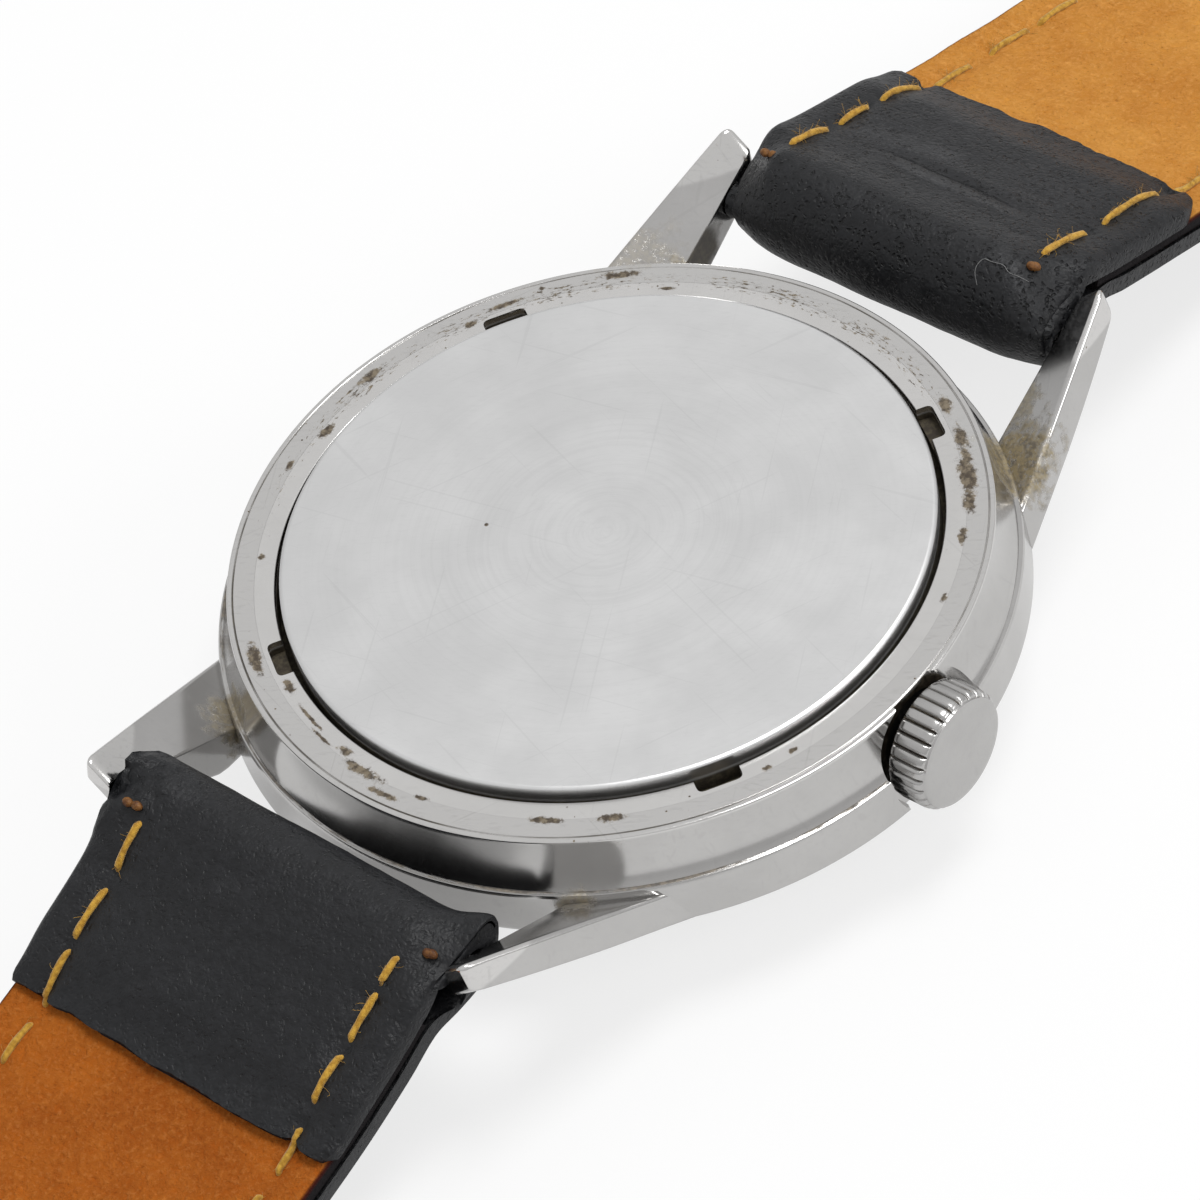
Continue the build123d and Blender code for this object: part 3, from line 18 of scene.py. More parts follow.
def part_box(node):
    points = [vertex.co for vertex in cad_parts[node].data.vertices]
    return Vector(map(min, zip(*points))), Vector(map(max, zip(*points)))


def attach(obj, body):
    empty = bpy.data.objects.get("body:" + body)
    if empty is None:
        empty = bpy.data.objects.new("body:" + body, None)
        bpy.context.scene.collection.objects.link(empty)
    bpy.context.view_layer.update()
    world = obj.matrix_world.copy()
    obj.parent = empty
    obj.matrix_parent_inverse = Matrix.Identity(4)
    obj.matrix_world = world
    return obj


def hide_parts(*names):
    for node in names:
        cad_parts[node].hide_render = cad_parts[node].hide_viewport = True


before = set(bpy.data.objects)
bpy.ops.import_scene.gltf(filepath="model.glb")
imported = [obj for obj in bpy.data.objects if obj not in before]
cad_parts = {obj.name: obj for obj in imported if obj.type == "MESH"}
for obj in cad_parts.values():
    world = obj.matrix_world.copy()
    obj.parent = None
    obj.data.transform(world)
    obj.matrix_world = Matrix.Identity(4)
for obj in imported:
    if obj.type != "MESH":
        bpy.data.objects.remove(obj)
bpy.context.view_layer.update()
MM = 0.001
random.seed(18)

# ---------------------------------------------------------------- sizes in millimetres
# heights and radii of the case's parts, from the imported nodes
disc_low, disc_high = (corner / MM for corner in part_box("case_back"))
ring_low, ring_high = (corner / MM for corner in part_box("back_ring"))
crown_low, crown_high = (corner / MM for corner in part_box("crown"))
rim_z, back_top_z = ring_high.z, disc_high.z
thread_r = ring_high.x + 0.05
crown_z = (crown_low.z + crown_high.z) / 2
crown_x, crown_end_x = crown_low.x, crown_high.x
crown_r = (crown_high.z - crown_low.z) / 2

# the middle of the case, the back, the ring with its notches, and the crown
case_r, side_z, ledge_z, ledge_r = 17.25, 4.5, 6.56, 17.03
wall_top_r, wall_foot_r = 16.19, 16.86
neck_r, neck_z, case_face_z = 15.2, 3.2, 4.0
groove_r = 15.93
bore_r, bore_z, seat_r, seat_z = 13.4, 6.7, 12.6, 3.6
disc_r, disc_flange_r, disc_flange = 13.85, 14.7, 0.6
disc_skirt_r, disc_inner_z = 12.85, 8.5
ring_inner_r = 14.13
recess_r, recess_x = 2.95, 15.95
notch_angle, notch_half, notch_depth, notch_reach = 57.5, 0.97, 0.7, 14.78
flutes, flute_samples = 28, 14

# the lugs, the spring bars, and the strap's half width and reach between the lugs
lug_inner_x, lug_tip_y = 9.0, 21.25
bar_y, bar_z, bar_hole_r = 19.6, 7.55, 0.82
between_lugs, between_lugs_y = 8.93, 22.6

# the strap's widths, layers, steps of its mesh, sewing, tip, buckle and holes
strap_half, strap_end_half = 8.8, 7.9
full_width_y, narrow_y = 34.0, 62.0
leather, lining, skived, flap_edge = 0.95, 0.7, 0.62, 0.38
course_step, row_step, layer_columns = 0.25, 0.24, 80
leather_seen, lining_seen = 24, 22
stitch_inset, stitch_r = 1.95, 0.15
tip_length = 9.0
buckle_y, buckle_z, buckle_bar_r = 90.0, 4.25, 0.7
hole_ys, hole_r = [63.0 + 7 * k for k in range(7)], 0.9
keeper_half, keeper_corner = 0.41, 0.9


def placed(name, data):
    """A new object in the scene."""
    thing = bpy.data.objects.new(name, data)
    bpy.context.scene.collection.objects.link(thing)
    return thing


# ---------------------------------------------------------------- camera
camera_azimuth, camera_elevation, camera_roll = 50.2556, 46.7314, -14.708
camera_distance, camera_lens = 232.85, 168.4
camera_side, camera_rise, camera_centre_z = -0.3068, -2.5084, 8.9


def camera_axes(azimuth, elevation, roll):
    """The camera's right, up and back directions."""
    turn, lift, tilt = radians(azimuth), radians(elevation), radians(roll)
    back = Vector((sin(turn) * cos(lift), -cos(turn) * cos(lift), sin(lift)))
    level = Vector((cos(turn), sin(turn), 0))
    upright = back.cross(level)
    right = level * cos(tilt) + upright * sin(tilt)
    up = upright * cos(tilt) - level * sin(tilt)
    return right, up, back


right, up, back = camera_axes(camera_azimuth, camera_elevation, camera_roll)
camera = placed("camera", bpy.data.cameras.new("camera"))
eye = back * camera_distance + right * camera_side + up * camera_rise
eye.z += camera_centre_z
camera.matrix_world = Matrix((
    (right.x, up.x, back.x, eye.x * MM),
    (right.y, up.y, back.y, eye.y * MM),
    (right.z, up.z, back.z, eye.z * MM),
    (0, 0, 0, 1),
))
camera.data.sensor_width = 36
camera.data.lens = camera_lens
camera.data.clip_start = 0.01
bpy.context.scene.camera = camera
bpy.context.scene.view_settings.view_transform = "Standard"


# ---------------------------------------------------------------- material tools
class Wire:
    """One output of a node. Arithmetic on it adds nodes to the same tree."""

    def __init__(self, nodes, socket):
        self.nodes, self.socket = nodes, socket

    def __mul__(self, other):
        return self.nodes.math("MULTIPLY", self, other)

    def __add__(self, other):
        return self.nodes.math("ADD", self, other)

    def __or__(self, other):
        """The stronger of two masks at each place."""
        return self.nodes.math("MAXIMUM", self, other)


def most(masks):
    """The strongest of several masks at each place."""
    return reduce(or_, masks)


class Nodes:
    """The node tree of a material or of the world, cleared but for its output."""

    def __init__(self, owner, output):
        owner.use_nodes = True
        self.tree = owner.node_tree
        self.tree.nodes.clear()
        self.output = self.tree.nodes.new(output)

    def fill(self, socket, value):
        """Give a socket a value, or link another node's output to it."""
        if isinstance(value, Wire):
            self.tree.links.new(value.socket, socket)
        else:
            socket.default_value = value

    def node(self, kind, inputs=None, output=0, **settings):
        """One output of a new node, whose inputs are values or other nodes' outputs."""
        node = self.tree.nodes.new(kind)
        for key, value in settings.items():
            setattr(node, key, value)
        for socket, value in (inputs or {}).items():
            self.fill(node.inputs[socket], value)
        return Wire(self, node.outputs[output])

    def math(self, operation, first, second=0.0):
        return self.node("ShaderNodeMath", {0: first, 1: second}, operation=operation)

    def part(self, place, index):
        return self.node("ShaderNodeSeparateXYZ", {0: place}, index)

    def ray(self, kind):
        """1 for what a ray of the given kind meets."""
        return self.node("ShaderNodeLightPath", output=f"Is {kind} Ray")

    def mix(self, share, first, second):
        """Show the first shader, and the second one where the share is 1."""
        mixed = self.node("ShaderNodeMixShader", {0: share, 1: first, 2: second})
        self.tree.links.new(mixed.socket, self.output.inputs[0])


class Shader(Nodes):
    """One material, with its places in millimetres."""

    def __init__(self, name, **constants):
        self.material = bpy.data.materials.new(name)
        super().__init__(self.material, "ShaderNodeOutputMaterial")
        self.surface = self.tree.nodes.new("ShaderNodeBsdfPrincipled")
        self.tree.links.new(self.surface.outputs[0], self.output.inputs[0])
        for socket, value in constants.items():
            self.set(socket.replace("_", " "), value)
        coordinates = self.node("ShaderNodeTexCoord", output="Object")
        self.place = self.vector("SCALE", coordinates, Scale=1 / MM)
        self.x, self.y, self.z = (self.part(self.place, axis) for axis in range(3))
        self.height = None

    def set(self, socket, value):
        """Set or link one of the surface's own sockets."""
        self.fill(self.surface.inputs[socket], value)

    def vector(self, operation, first, second=(0, 0, 0), **inputs):
        output = "Value" if operation in ("LENGTH", "DISTANCE", "DOT_PRODUCT") else "Vector"
        return self.node("ShaderNodeVectorMath", {0: first, 1: second, **inputs}, output, operation=operation)

    def noise(self, scale, detail=3.0, rough=0.55, place=None):
        """Noise with a scale in waves per millimetre."""
        inputs = {"Vector": place or self.place, "Scale": scale, "Detail": detail, "Roughness": rough}
        return self.node("ShaderNodeTexNoise", inputs)

    def cells(self, scale, place=None):
        return self.node("ShaderNodeTexVoronoi", {"Vector": place or self.place, "Scale": scale})

    def band(self, value, low, high, start=0.0, end=1.0):
        """A smooth step from start to end while the value goes from low to high."""
        inputs = {"Value": value, "From Min": low, "From Max": high, "To Min": start, "To Max": end}
        return self.node("ShaderNodeMapRange", inputs, interpolation_type="SMOOTHSTEP")

    def fall(self, value, low, high):
        """A smooth step from 1 to 0 while the value goes from low to high."""
        return self.band(value, low, high, 1.0, 0.0)

    def within(self, value, low, high, soft):
        """1 while a value lies between two others."""
        return self.band(value, low - soft, low) * self.fall(value, high, high + soft)

    def blend(self, share, first, second):
        """Mix two colours."""
        first, second = (c if isinstance(c, Wire) else (*c, 1) for c in (first, second))
        return self.node("ShaderNodeMix", {0: share, 6: first, 7: second}, 2, data_type="RGBA")

    def stretched(self, waves, turn=0.0, place=None):
        """Places scaled along turned axes, so that noise of scale 1 runs in streaks."""
        inputs = {"Vector": place or self.place, "Scale": [1 / w for w in waves],
                  "Rotation": (0, 0, radians(turn))}
        return self.node("ShaderNodeMapping", inputs, vector_type="TEXTURE")

    def swayed(self, scale, reach):
        """Places that waver within a reach."""
        sway = self.node("ShaderNodeTexNoise", {"Vector": self.place, "Scale": scale}, "Color")
        return self.vector("ADD", self.place, self.vector("SCALE", sway, Scale=reach))

    def polar(self):
        """(length of arc at the ring's radius, radius, height) round the axis of the case."""
        radius = self.vector("LENGTH", self.vector("MULTIPLY", self.place, (1, 1, 0)))
        arc = self.math("ARCTAN2", self.y, self.x) * thread_r
        return self.node("ShaderNodeCombineXYZ", {0: arc, 1: radius, 2: self.z})

    def near(self, spot, size, ragged=0.6, waves=1.2):
        """1 within a ragged blotch round a spot, 0 outside it."""
        edge = self.noise(waves, 4) * (ragged * size * 2) + self.vector("DISTANCE", self.place, spot)
        return self.fall(edge, size * (0.6 + ragged), size * (1.25 + ragged))

    def smear(self, polar, angle, radius, length, width):
        """1 within a ragged patch that lies along the arc, 0 outside it."""
        offset = self.vector("SUBTRACT", polar, (radians(angle) * thread_r, radius, rim_z))
        offset = self.vector("MULTIPLY", offset, (1 / length, 1 / width, 1))
        return self.fall(self.vector("LENGTH", offset) + self.noise(3.2, 5, 0.7) * 2.0, 1.5, 1.95)

    def hairs(self, turns):
        """Long fine hairlines in several directions, here and there."""
        return self.band(most(self.noise(1.0, 1, 0.5, self.stretched((0.12, 5.0, 1.0), turn))
                              for turn in turns), 0.7, 0.76)

    def bump(self, height, depth, strength=1.0):
        """Raise the surface by a depth in millimetres where the height is 1."""
        inputs = {"Height": height, "Distance": depth * MM, "Strength": strength}
        if self.height is not None:
            inputs["Normal"] = self.height
        self.height = self.node("ShaderNodeBump", inputs)
        self.set("Normal", self.height)


def grey(level):
    return (level, level, level)


# ---------------------------------------------------------------- mesh tools
def solid(name, points, faces, weld=False):
    """An object from points in millimetres, with its faces turned outward."""
    mesh = bpy.data.meshes.new(name)
    mesh.from_pydata([Vector(p) * MM for p in points], [], faces)
    build = bmesh.new()
    build.from_mesh(mesh)
    if weld:
        bmesh.ops.remove_doubles(build, verts=build.verts, dist=0.0005 * MM)
    bmesh.ops.recalc_face_normals(build, faces=build.faces)
    build.to_mesh(mesh)
    build.free()
    return placed(name, mesh)


def mesh_piece(name, points, faces, body, material, creases=None):
    """A piece of the object, shaded smooth except at creases above an angle in degrees."""
    piece = solid(name, points, faces, weld=True)
    piece.data.materials.append(material)
    piece.data.shade_smooth()
    if creases:
        piece.data.set_sharp_from_angle(angle=radians(creases))
    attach(piece, body)
    return piece


def settle(piece):
    """Apply a piece's modifiers to its mesh."""
    graph = bpy.context.evaluated_depsgraph_get()
    mesh = bpy.data.meshes.new_from_object(piece.evaluated_get(graph))
    piece.modifiers.clear()
    piece.data = mesh


def level_normals(piece):
    """Let the large faces decide the shading beside narrow rounded edges."""
    weighted = piece.modifiers.new("normals", "WEIGHTED_NORMAL")
    weighted.keep_sharp = True
    settle(piece)


def bend(start, middle, end, count=16):
    """Points along a curve that starts and ends on the lines to its middle point."""
    return [tuple(start * (1 - t) ** 2 + middle * 2 * t * (1 - t) + end * t ** 2)
            for t in (k / count for k in range(count + 1))]


def rounded(corners, steps=5):
    """An outline of (a, b) points from corners (a, b, radius of rounding)."""
    points = []
    for i, (a, b, radius) in enumerate(corners):
        here = Vector((a, b))
        before = Vector(corners[i - 1][:2]) - here
        after = Vector(corners[(i + 1) % len(corners)][:2]) - here
        short = min(before.length, after.length)
        if radius <= 0 or short < 1e-6 or before.angle(after) > radians(178):
            points.append((a, b))
            continue
        half_angle = before.angle(after) / 2
        reach = min(radius / max(sin(half_angle) / cos(half_angle), 1e-6), 0.48 * short)
        points += bend(here + before.normalized() * reach, here, here + after.normalized() * reach, steps)
    return points


def turned(outline, segments=256, axis="Z", height=0.0):
    """Points and faces of a closed outline of (radius, height) turned round an axis."""
    points, faces = [], []
    count = len(outline)
    for i in range(segments):
        c, s = cos(2 * pi * i / segments), sin(2 * pi * i / segments)
        for radius, level in outline:
            points.append((radius * c, radius * s, level) if axis == "Z"
                          else (level, radius * c, height + radius * s))
        here, there = i * count, (i + 1) % segments * count
        for k in range(count):
            m = (k + 1) % count
            face = [here + k, here + m] + [there + n for n in (m, k) if outline[n][0] >= 1e-6]
            if len(face) > 2:
                faces.append(face)
    return points, faces


def lofted(sections):
    """Points and faces of a solid through closed sections of equal point counts."""
    count = len(sections[0])
    points = [point for section in sections for point in section]
    faces = []
    for a in range(0, len(points) - count, count):
        b = a + count
        for k in range(count):
            m = (k + 1) % count
            faces.append((a + k, a + m, b + m, b + k))
    faces.append(tuple(range(count))[::-1])
    faces.append(tuple(range(len(points) - count, len(points))))
    return points, faces


def joined(parts):
    """Several sets of points and faces as one."""
    points, faces = [], []
    for more_points, more_faces in parts:
        base = len(points)
        points.extend(more_points)
        faces.extend(tuple(base + k for k in face) for face in more_faces)
    return points, faces


def cut(piece, points, faces):
    """Take a solid of the given points and faces away from a piece."""
    cutter = solid("cutter", points, faces)
    boolean = piece.modifiers.new("cut", "BOOLEAN")
    boolean.operation = "DIFFERENCE"
    boolean.solver = "EXACT"
    boolean.object = cutter
    settle(piece)
    bpy.data.objects.remove(cutter)


# ---------------------------------------------------------------- steel of the case
def steel(name, colour, roughness, dirt=None, cloudy=0.02, marks=0.0, hair=0.14, rim=0.0,
          crusty=False, warmth=(1.014, 0.999, 0.982)):
    """Worn steel: cloudy polish, fine hairlines, turned marks, and dirt and painted shade where the masks
    say.
    """
    s = Shader(name, Metallic=1.0)
    cloud = s.band(s.noise(0.24, 4, 0.6), 0.3, 0.7)
    fine = s.noise(5.0, 2, 0.5, s.stretched((0.4, 1.4, 1.0), 35))
    tone = s.blend(cloud, grey(colour - cloudy), grey(colour + cloudy))
    # a lighter tone at the top rim; the case's colour below it is set darker as painted shade on its walls
    # and lugs
    if rim:
        tone = s.blend(s.band(s.z, rim_z - 0.2, rim_z - 0.05), tone, grey(rim))
    tone = s.blend(s.band(fine, 0.5, 0.8, 0.0, 0.25), tone, grey(colour * 0.86))
    tone = s.blend(s.hairs((12, 64, 118, 163)) * hair, tone, grey(colour * 0.72))
    rough = fine * (0.1 * roughness) + (cloud * (0.15 * roughness) + roughness * 0.87)
    polar = s.polar()
    if marks:
        lines = s.band(s.noise(1.0, 3, 0.7, s.stretched((0.04, 5.0, 0.1), 0, polar)), 0.42, 0.68)
        inner = s.band(s.part(polar, 1), 2.0, 13.0, 1.0, 0.35)
        tone = s.blend(lines * (inner * marks), tone, grey(colour * 0.8))
    if dirt is not None:
        grime, stain, deep = dirt(s, polar)
        mixed = s.band(s.noise(3.4, 5, 0.7), 0.4, 0.64)
        tone = s.blend(stain * 0.85, tone, s.blend(mixed, (0.26, 0.2, 0.085), (0.085, 0.062, 0.026)))
        tone = s.blend(grime, tone, s.blend(mixed, (0.05, 0.036, 0.023), (0.2, 0.165, 0.115)))
        # deep: dark dirt in the groove, and painted shade low in gaps and notches and on a lug's inner flank
        tone = s.blend(deep, tone, s.blend(mixed, (0.03, 0.022, 0.013), (0.075, 0.062, 0.037)))
        dull = grime | deep | stain * 0.8
        s.set("Metallic", dull * -0.92 + 1.0)
        rough = dull * 0.5 + rough
        if crusty:
            s.bump(stain * s.noise(5.0, 4, 0.7), 0.035, 0.8)
    s.set("Base Color", s.vector("MULTIPLY", tone, warmth))
    s.set("Roughness", rough)
    return s.material


# dirt on the ring and the rim as (angle, radius, length, width)
smears = [
    (127.2, 15.6, 1.0, 0.28), (146.5, 15.3, 0.9, 0.2), (153, 14.95, 0.35, 0.25), (140, 15.6, 0.2, 0.16),
    (119, 14.62, 0.45, 0.16), (-175, 14.75, 0.6, 0.3), (172, 15.3, 0.9, 0.3), (-166, 15.2, 0.35, 0.2),
    (-146, 14.8, 0.25, 0.22), (-124, 15.4, 1.1, 0.35), (-116, 14.6, 0.7, 0.25), (-98, 14.7, 0.5, 0.25),
    (-87, 15.5, 0.9, 0.22), (-60, 15.05, 0.9, 0.25), (-50, 15.1, 0.8, 0.25), (-25, 14.9, 0.3, 0.2),
    (-20, 14.7, 0.3, 0.2), (60, 15.3, 0.7, 0.35), (52, 15.3, 0.9, 0.36), (48, 15.25, 0.9, 0.3),
    (44, 15.15, 1.7, 0.5), (38.5, 15.1, 1.0, 0.36), (-108, 14.66, 1.1, 0.13), (-103, 14.9, 0.8, 0.12),
    (-92.5, 15.0, 1.3, 0.34), (-81, 15.0, 0.45, 0.16), (31, 14.9, 0.7, 0.25), (18, 14.85, 0.35, 0.18)]
# stains at the roots of the lugs as (place, size, strength)
lug_stains = [
    ((10.4, 13.6, 6.8), 2.0, 1.0), ((9.0, 16.4, 6.9), 1.1, 0.7), ((-10.4, 14.2, 7.4), 2.2, 0.35),
    ((-9.0, 15.0, 6.0), 1.4, 0.9), ((9.5, -14.4, 6.0), 0.9, 0.6), ((-9.4, -14.2, 6.2), 1.3, 0.8)]


def rim_dirt(s, polar):
    """Dirt in the seam between the ring and the case, and smeared beside it."""
    streaks = s.noise(1.0, 4, 0.65, s.stretched((3.0, 9.0, 1.0), 0, polar))
    facing = s.x * -0.6 + s.y * 0.8
    here = s.band(facing, -12, 10, 0.05, 0.5) + (s.noise(0.35, 3) * 0.4 + -0.2)
    seam = s.within(s.part(polar, 1), thread_r - 0.2, thread_r + 0.4, 0.55) * here
    spots = most(s.smear(polar, *place) for place in smears)
    specks = s.fall(s.cells(1.5), 0.05, 0.09) * s.band(s.noise(0.3, 3), 0.48, 0.56)
    return (s.band(seam + streaks, 1.02, 1.17) | spots | specks) * s.band(s.z, rim_z - 0.12, rim_z - 0.06)


# these give three masks each: grime, olive stains, and a dark mask of dirt and painted shade deep in gaps and
# recesses
def case_dirt_and_shade(s, polar):
    radius = s.part(polar, 1)
    groove = s.within(radius, groove_r - 0.03, groove_r + 0.02, 0.02)
    groove *= s.band(s.noise(0.16, 3), 0.38, 0.6, 0.25, 1.0) * s.band(s.z, rim_z - 0.2, rim_z - 0.15)
    foot = s.within(s.z, ledge_z - 0.01, ledge_z + 0.015, 0.03) * s.within(radius, 16.6, 16.95, 0.05)
    foot *= s.band(s.noise(1.0, 4, 0.7, s.stretched((0.5, 4.0, 4.0), 0, polar)), 0.44, 0.56)
    foot *= s.band(s.y, -4.0, 0.0, 0.8, 0.0)
    roots = most(s.near(spot, size, 0.9, 1.5) * strength for spot, size, strength in lug_stains)
    roots *= s.band(s.noise(4.0, 5, 0.75), 0.28, 0.5)
    # painted shade on the inner flank of the -x lug at +y, where it faces the loop
    flank_shade = s.near((-9.0, 16.7, 6.6), 1.5, 0.5) * s.band(s.x, -9.08, -9.02)
    return rim_dirt(s, polar) | foot, roots, groove * 0.9 | flank_shade * 0.85


def ring_dirt_and_shade(s, polar):
    # below its top the ring is darkened in its notches and towards the gap: partly dark dirt, partly painted
    # shade
    return rim_dirt(s, polar), 0.0, s.fall(s.z, rim_z - 0.45, rim_z - 0.25)


def back_pit_and_shade(s, polar):
    pit = s.near((-4.65, -2.27, back_top_z), 0.1, 0.5, 4.0)
    # the disc's side below the ring's top is darkened in the gap: partly dark dirt, partly painted shade
    return pit, 0.0, s.fall(s.z, rim_z - 0.35, rim_z - 0.1)


def crown_dirt(s, polar):
    axis = s.vector("MULTIPLY", s.vector("SUBTRACT", s.place, (0, 0, crown_z)), (0, 1, 1))
    valley = s.fall(s.vector("LENGTH", axis), crown_r - 0.22, crown_r - 0.12)
    return valley * s.fall(s.x, crown_end_x - 0.3, crown_end_x - 0.2), 0.0, 0.0


# the case's steel is darker than the ring's and the back's as painted shade on its walls and lugs; its top
# rim gets a lighter tone
case_steel = steel("case_steel", 0.475, 0.16, case_dirt_and_shade, rim=0.6, crusty=True)
back_steel = steel("back_steel", 0.69, 0.34, back_pit_and_shade, cloudy=0.018, marks=0.22, hair=0.18, warmth=(1, 1, 1))
ring_steel = steel("ring_steel", 0.66, 0.2, ring_dirt_and_shade)
crown_steel = steel("crown_steel", 0.44, 0.23, crown_dirt)

# ---------------------------------------------------------------- case middle with its lugs
wall = bend(Vector((wall_foot_r, ledge_z)), Vector((wall_top_r + 0.12, ledge_z + 0.75)),
            Vector((wall_top_r, rim_z - 0.02)), 14)
case_outline = rounded(
    [(neck_r, neck_z, 0.04), (neck_r, case_face_z, 0.02), (16.6, case_face_z, 0.15),
     (case_r, side_z, 0.25), (ledge_r + 0.06, ledge_z - 0.14, 0.06), (ledge_r, ledge_z, 0.03)]
    + [(r, z, 0.0) for r, z in wall[:-1]]
    + [(wall_top_r, rim_z, 0.24), (groove_r + 0.05, rim_z, 0.01), (groove_r, rim_z - 0.06, 0.02),
       (groove_r - 0.05, rim_z, 0.02), (thread_r, rim_z, 0), (thread_r, bore_z, 0.02),
       (bore_r, bore_z, 0.02), (bore_r, seat_z, 0.02), (seat_r, seat_z, 0.02), (seat_r, neck_z, 0.05)])


def lug_section(y):
    """Corners of a lug's cross-section as (x, z, rounding), at a place along it."""
    run = y - 12
    ridge = (12.2 - 0.215 * run, 6.17 + 0.445 * run, 0.22)
    low = (12.87 - 0.21 * run - 0.0004 * run ** 3, 4.69 + 0.47 * run - 0.0016 * run ** 2, 0.2)
    inner_top = (lug_inner_x, 6.4 + 0.457 * (y - 15.2), 0.2)
    inner_low = (lug_inner_x, max(4.3, 4.97 + 0.57 * (y - 17)), 0.2)
    return [inner_low, low, ridge, inner_top]


def lug_points(side_x, side_y):
    """One lug, lofted from inside the case to its rounded tip."""
    sections = []
    stations = [11.0 + 0.5 * k for k in range(19)] + [20.4, 20.65]
    stations += [lug_tip_y - 0.5 + 0.5 * sin(pi / 2 * k / 6) for k in range(7)]
    for y in stations:
        shrink = sqrt(max(0.0, 1 - max(0.0, (y - lug_tip_y + 0.5) / 0.5) ** 2)) * 0.32 + 0.68
        outline = rounded(lug_section(y), 4)
        mid_x, mid_z = (sum(values) / len(outline) for values in zip(*outline))
        sections.append([(side_x * (mid_x + (x - mid_x) * shrink), side_y * y, mid_z + (z - mid_z) * shrink)
                         for x, z in outline])
    return lofted(sections)


case_body = mesh_piece("case_body", *turned(case_outline), "case", case_steel, creases=32)
cut(case_body, *turned([(0, recess_x), (recess_r, recess_x), (recess_r, case_r + 1), (0, case_r + 1)],
                       96, "X", crown_z))
case_body.data.set_sharp_from_angle(angle=radians(28))
level_normals(case_body)
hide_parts("mid_case")

lugs = mesh_piece("case_lugs", *joined(lug_points(x, y) for x in (-1, 1) for y in (-1, 1)),
                  "case", case_steel, creases=50)
level_normals(lugs)

# ---------------------------------------------------------------- back and its ring
back_outline = rounded(
    [(0, back_top_z, 0), (3, back_top_z - 0.001, 0), (6, back_top_z - 0.005, 0), (9, back_top_z - 0.012, 0),
     (disc_r - 0.14, back_top_z - 0.022, 0.22), (disc_r, back_top_z - 0.09, 0.13),
     (disc_r, disc_low.z + disc_flange, 0.03), (disc_flange_r, disc_low.z + disc_flange, 0.03),
     (disc_flange_r, disc_low.z, 0.03), (disc_skirt_r, disc_low.z, 0.03),
     (disc_skirt_r - 0.3, disc_inner_z, 0.1), (0, disc_inner_z, 0)], 8)
back_disc = mesh_piece("back_disc", *turned(back_outline), "case_back", back_steel, creases=40)
level_normals(back_disc)
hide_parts("case_back")

ring_outline = rounded(
    [(ring_inner_r, ring_low.z, 0.02), (thread_r - 0.005, ring_low.z, 0.02),
     (thread_r - 0.005, rim_z - 0.003, 0), (ring_inner_r, rim_z - 0.003, 0.07)], 4)
screw_ring = mesh_piece("screw_ring", *turned(ring_outline), "back_ring", ring_steel, creases=40)
notch = rounded([(13, -notch_half, 0), (notch_reach, -notch_half, 0.3), (notch_reach, notch_half, 0.3),
                 (13, notch_half, 0)], 4)
for quarter in range(4):
    turn = Matrix.Rotation(radians(notch_angle + 90 * quarter), 4, "Z")
    cut(screw_ring, *lofted([[turn @ Vector((x, y, z)) for x, y in notch]
                             for z in (rim_z - notch_depth, rim_z + 1)]))
screw_ring.data.set_sharp_from_angle(angle=radians(35))
level_normals(screw_ring)
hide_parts("back_ring")

# ---------------------------------------------------------------- crown
def crown_section(x, size, fluting):
    """A ring of the crown: its radius dips between the flutes."""
    points = []
    total = flutes * flute_samples
    for i in range(total):
        phase = abs(2 * ((i / flute_samples) % 1) - 1)
        radius = size * crown_r - fluting * 0.3 * phase ** 5
        angle = 2 * pi * i / total
        points.append((x, radius * cos(angle), crown_z + radius * sin(angle)))
    return points


length = crown_end_x - crown_x
crown_rows = [(0.0, 0.9, 0.1), (0.03, 0.955, 0.5), (0.09, 0.99, 0.9), (0.2, 1.0, 1.0), (0.5, 1.0, 1.0),
              (0.74, 1.0, 1.0), (0.83, 0.99, 1.0), (0.89, 0.97, 0.85), (0.925, 0.945, 0.45),
              (0.935, 0.925, 0.05), (0.985, 0.915, 0.0), (0.997, 0.89, 0.0), (1.0, 0.82, 0.0),
              (1.0, 0.5, 0.0), (1.0, 0.05, 0.0)]
crown_skin = [crown_section(crown_x + length * x, size, depth) for x, size, depth in crown_rows]
cavity = [crown_section(crown_x + x, size, 0.0) for x, size in ((1.1, 0.05), (1.1, 0.7), (0.0, 0.7))]
crown_piece = mesh_piece("crown_cap", *lofted(cavity + crown_skin), "crown_and_stem", crown_steel,
                         creases=42)
level_normals(crown_piece)
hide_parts("crown")

# ---------------------------------------------------------------- bezel and crystal
bezel_outline = rounded(
    [(13.6, 2.05, 0.05), (13.75, 1.95, 0.08), (14.5, 1.95, 0.4), (15.88, 3.1, 0.3), (16.0, 3.35, 0.1),
     (16.0, 3.95, 0.08), (15.25, 3.95, 0.02), (15.25, 3.15, 0.02), (14.95, 3.15, 0.02),
     (14.95, 2.7, 0.02), (13.6, 2.7, 0.02)], 6)
bezel = mesh_piece("bezel_ring", *turned(bezel_outline), "case", case_steel, creases=40)
level_normals(bezel)
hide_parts("bezel")

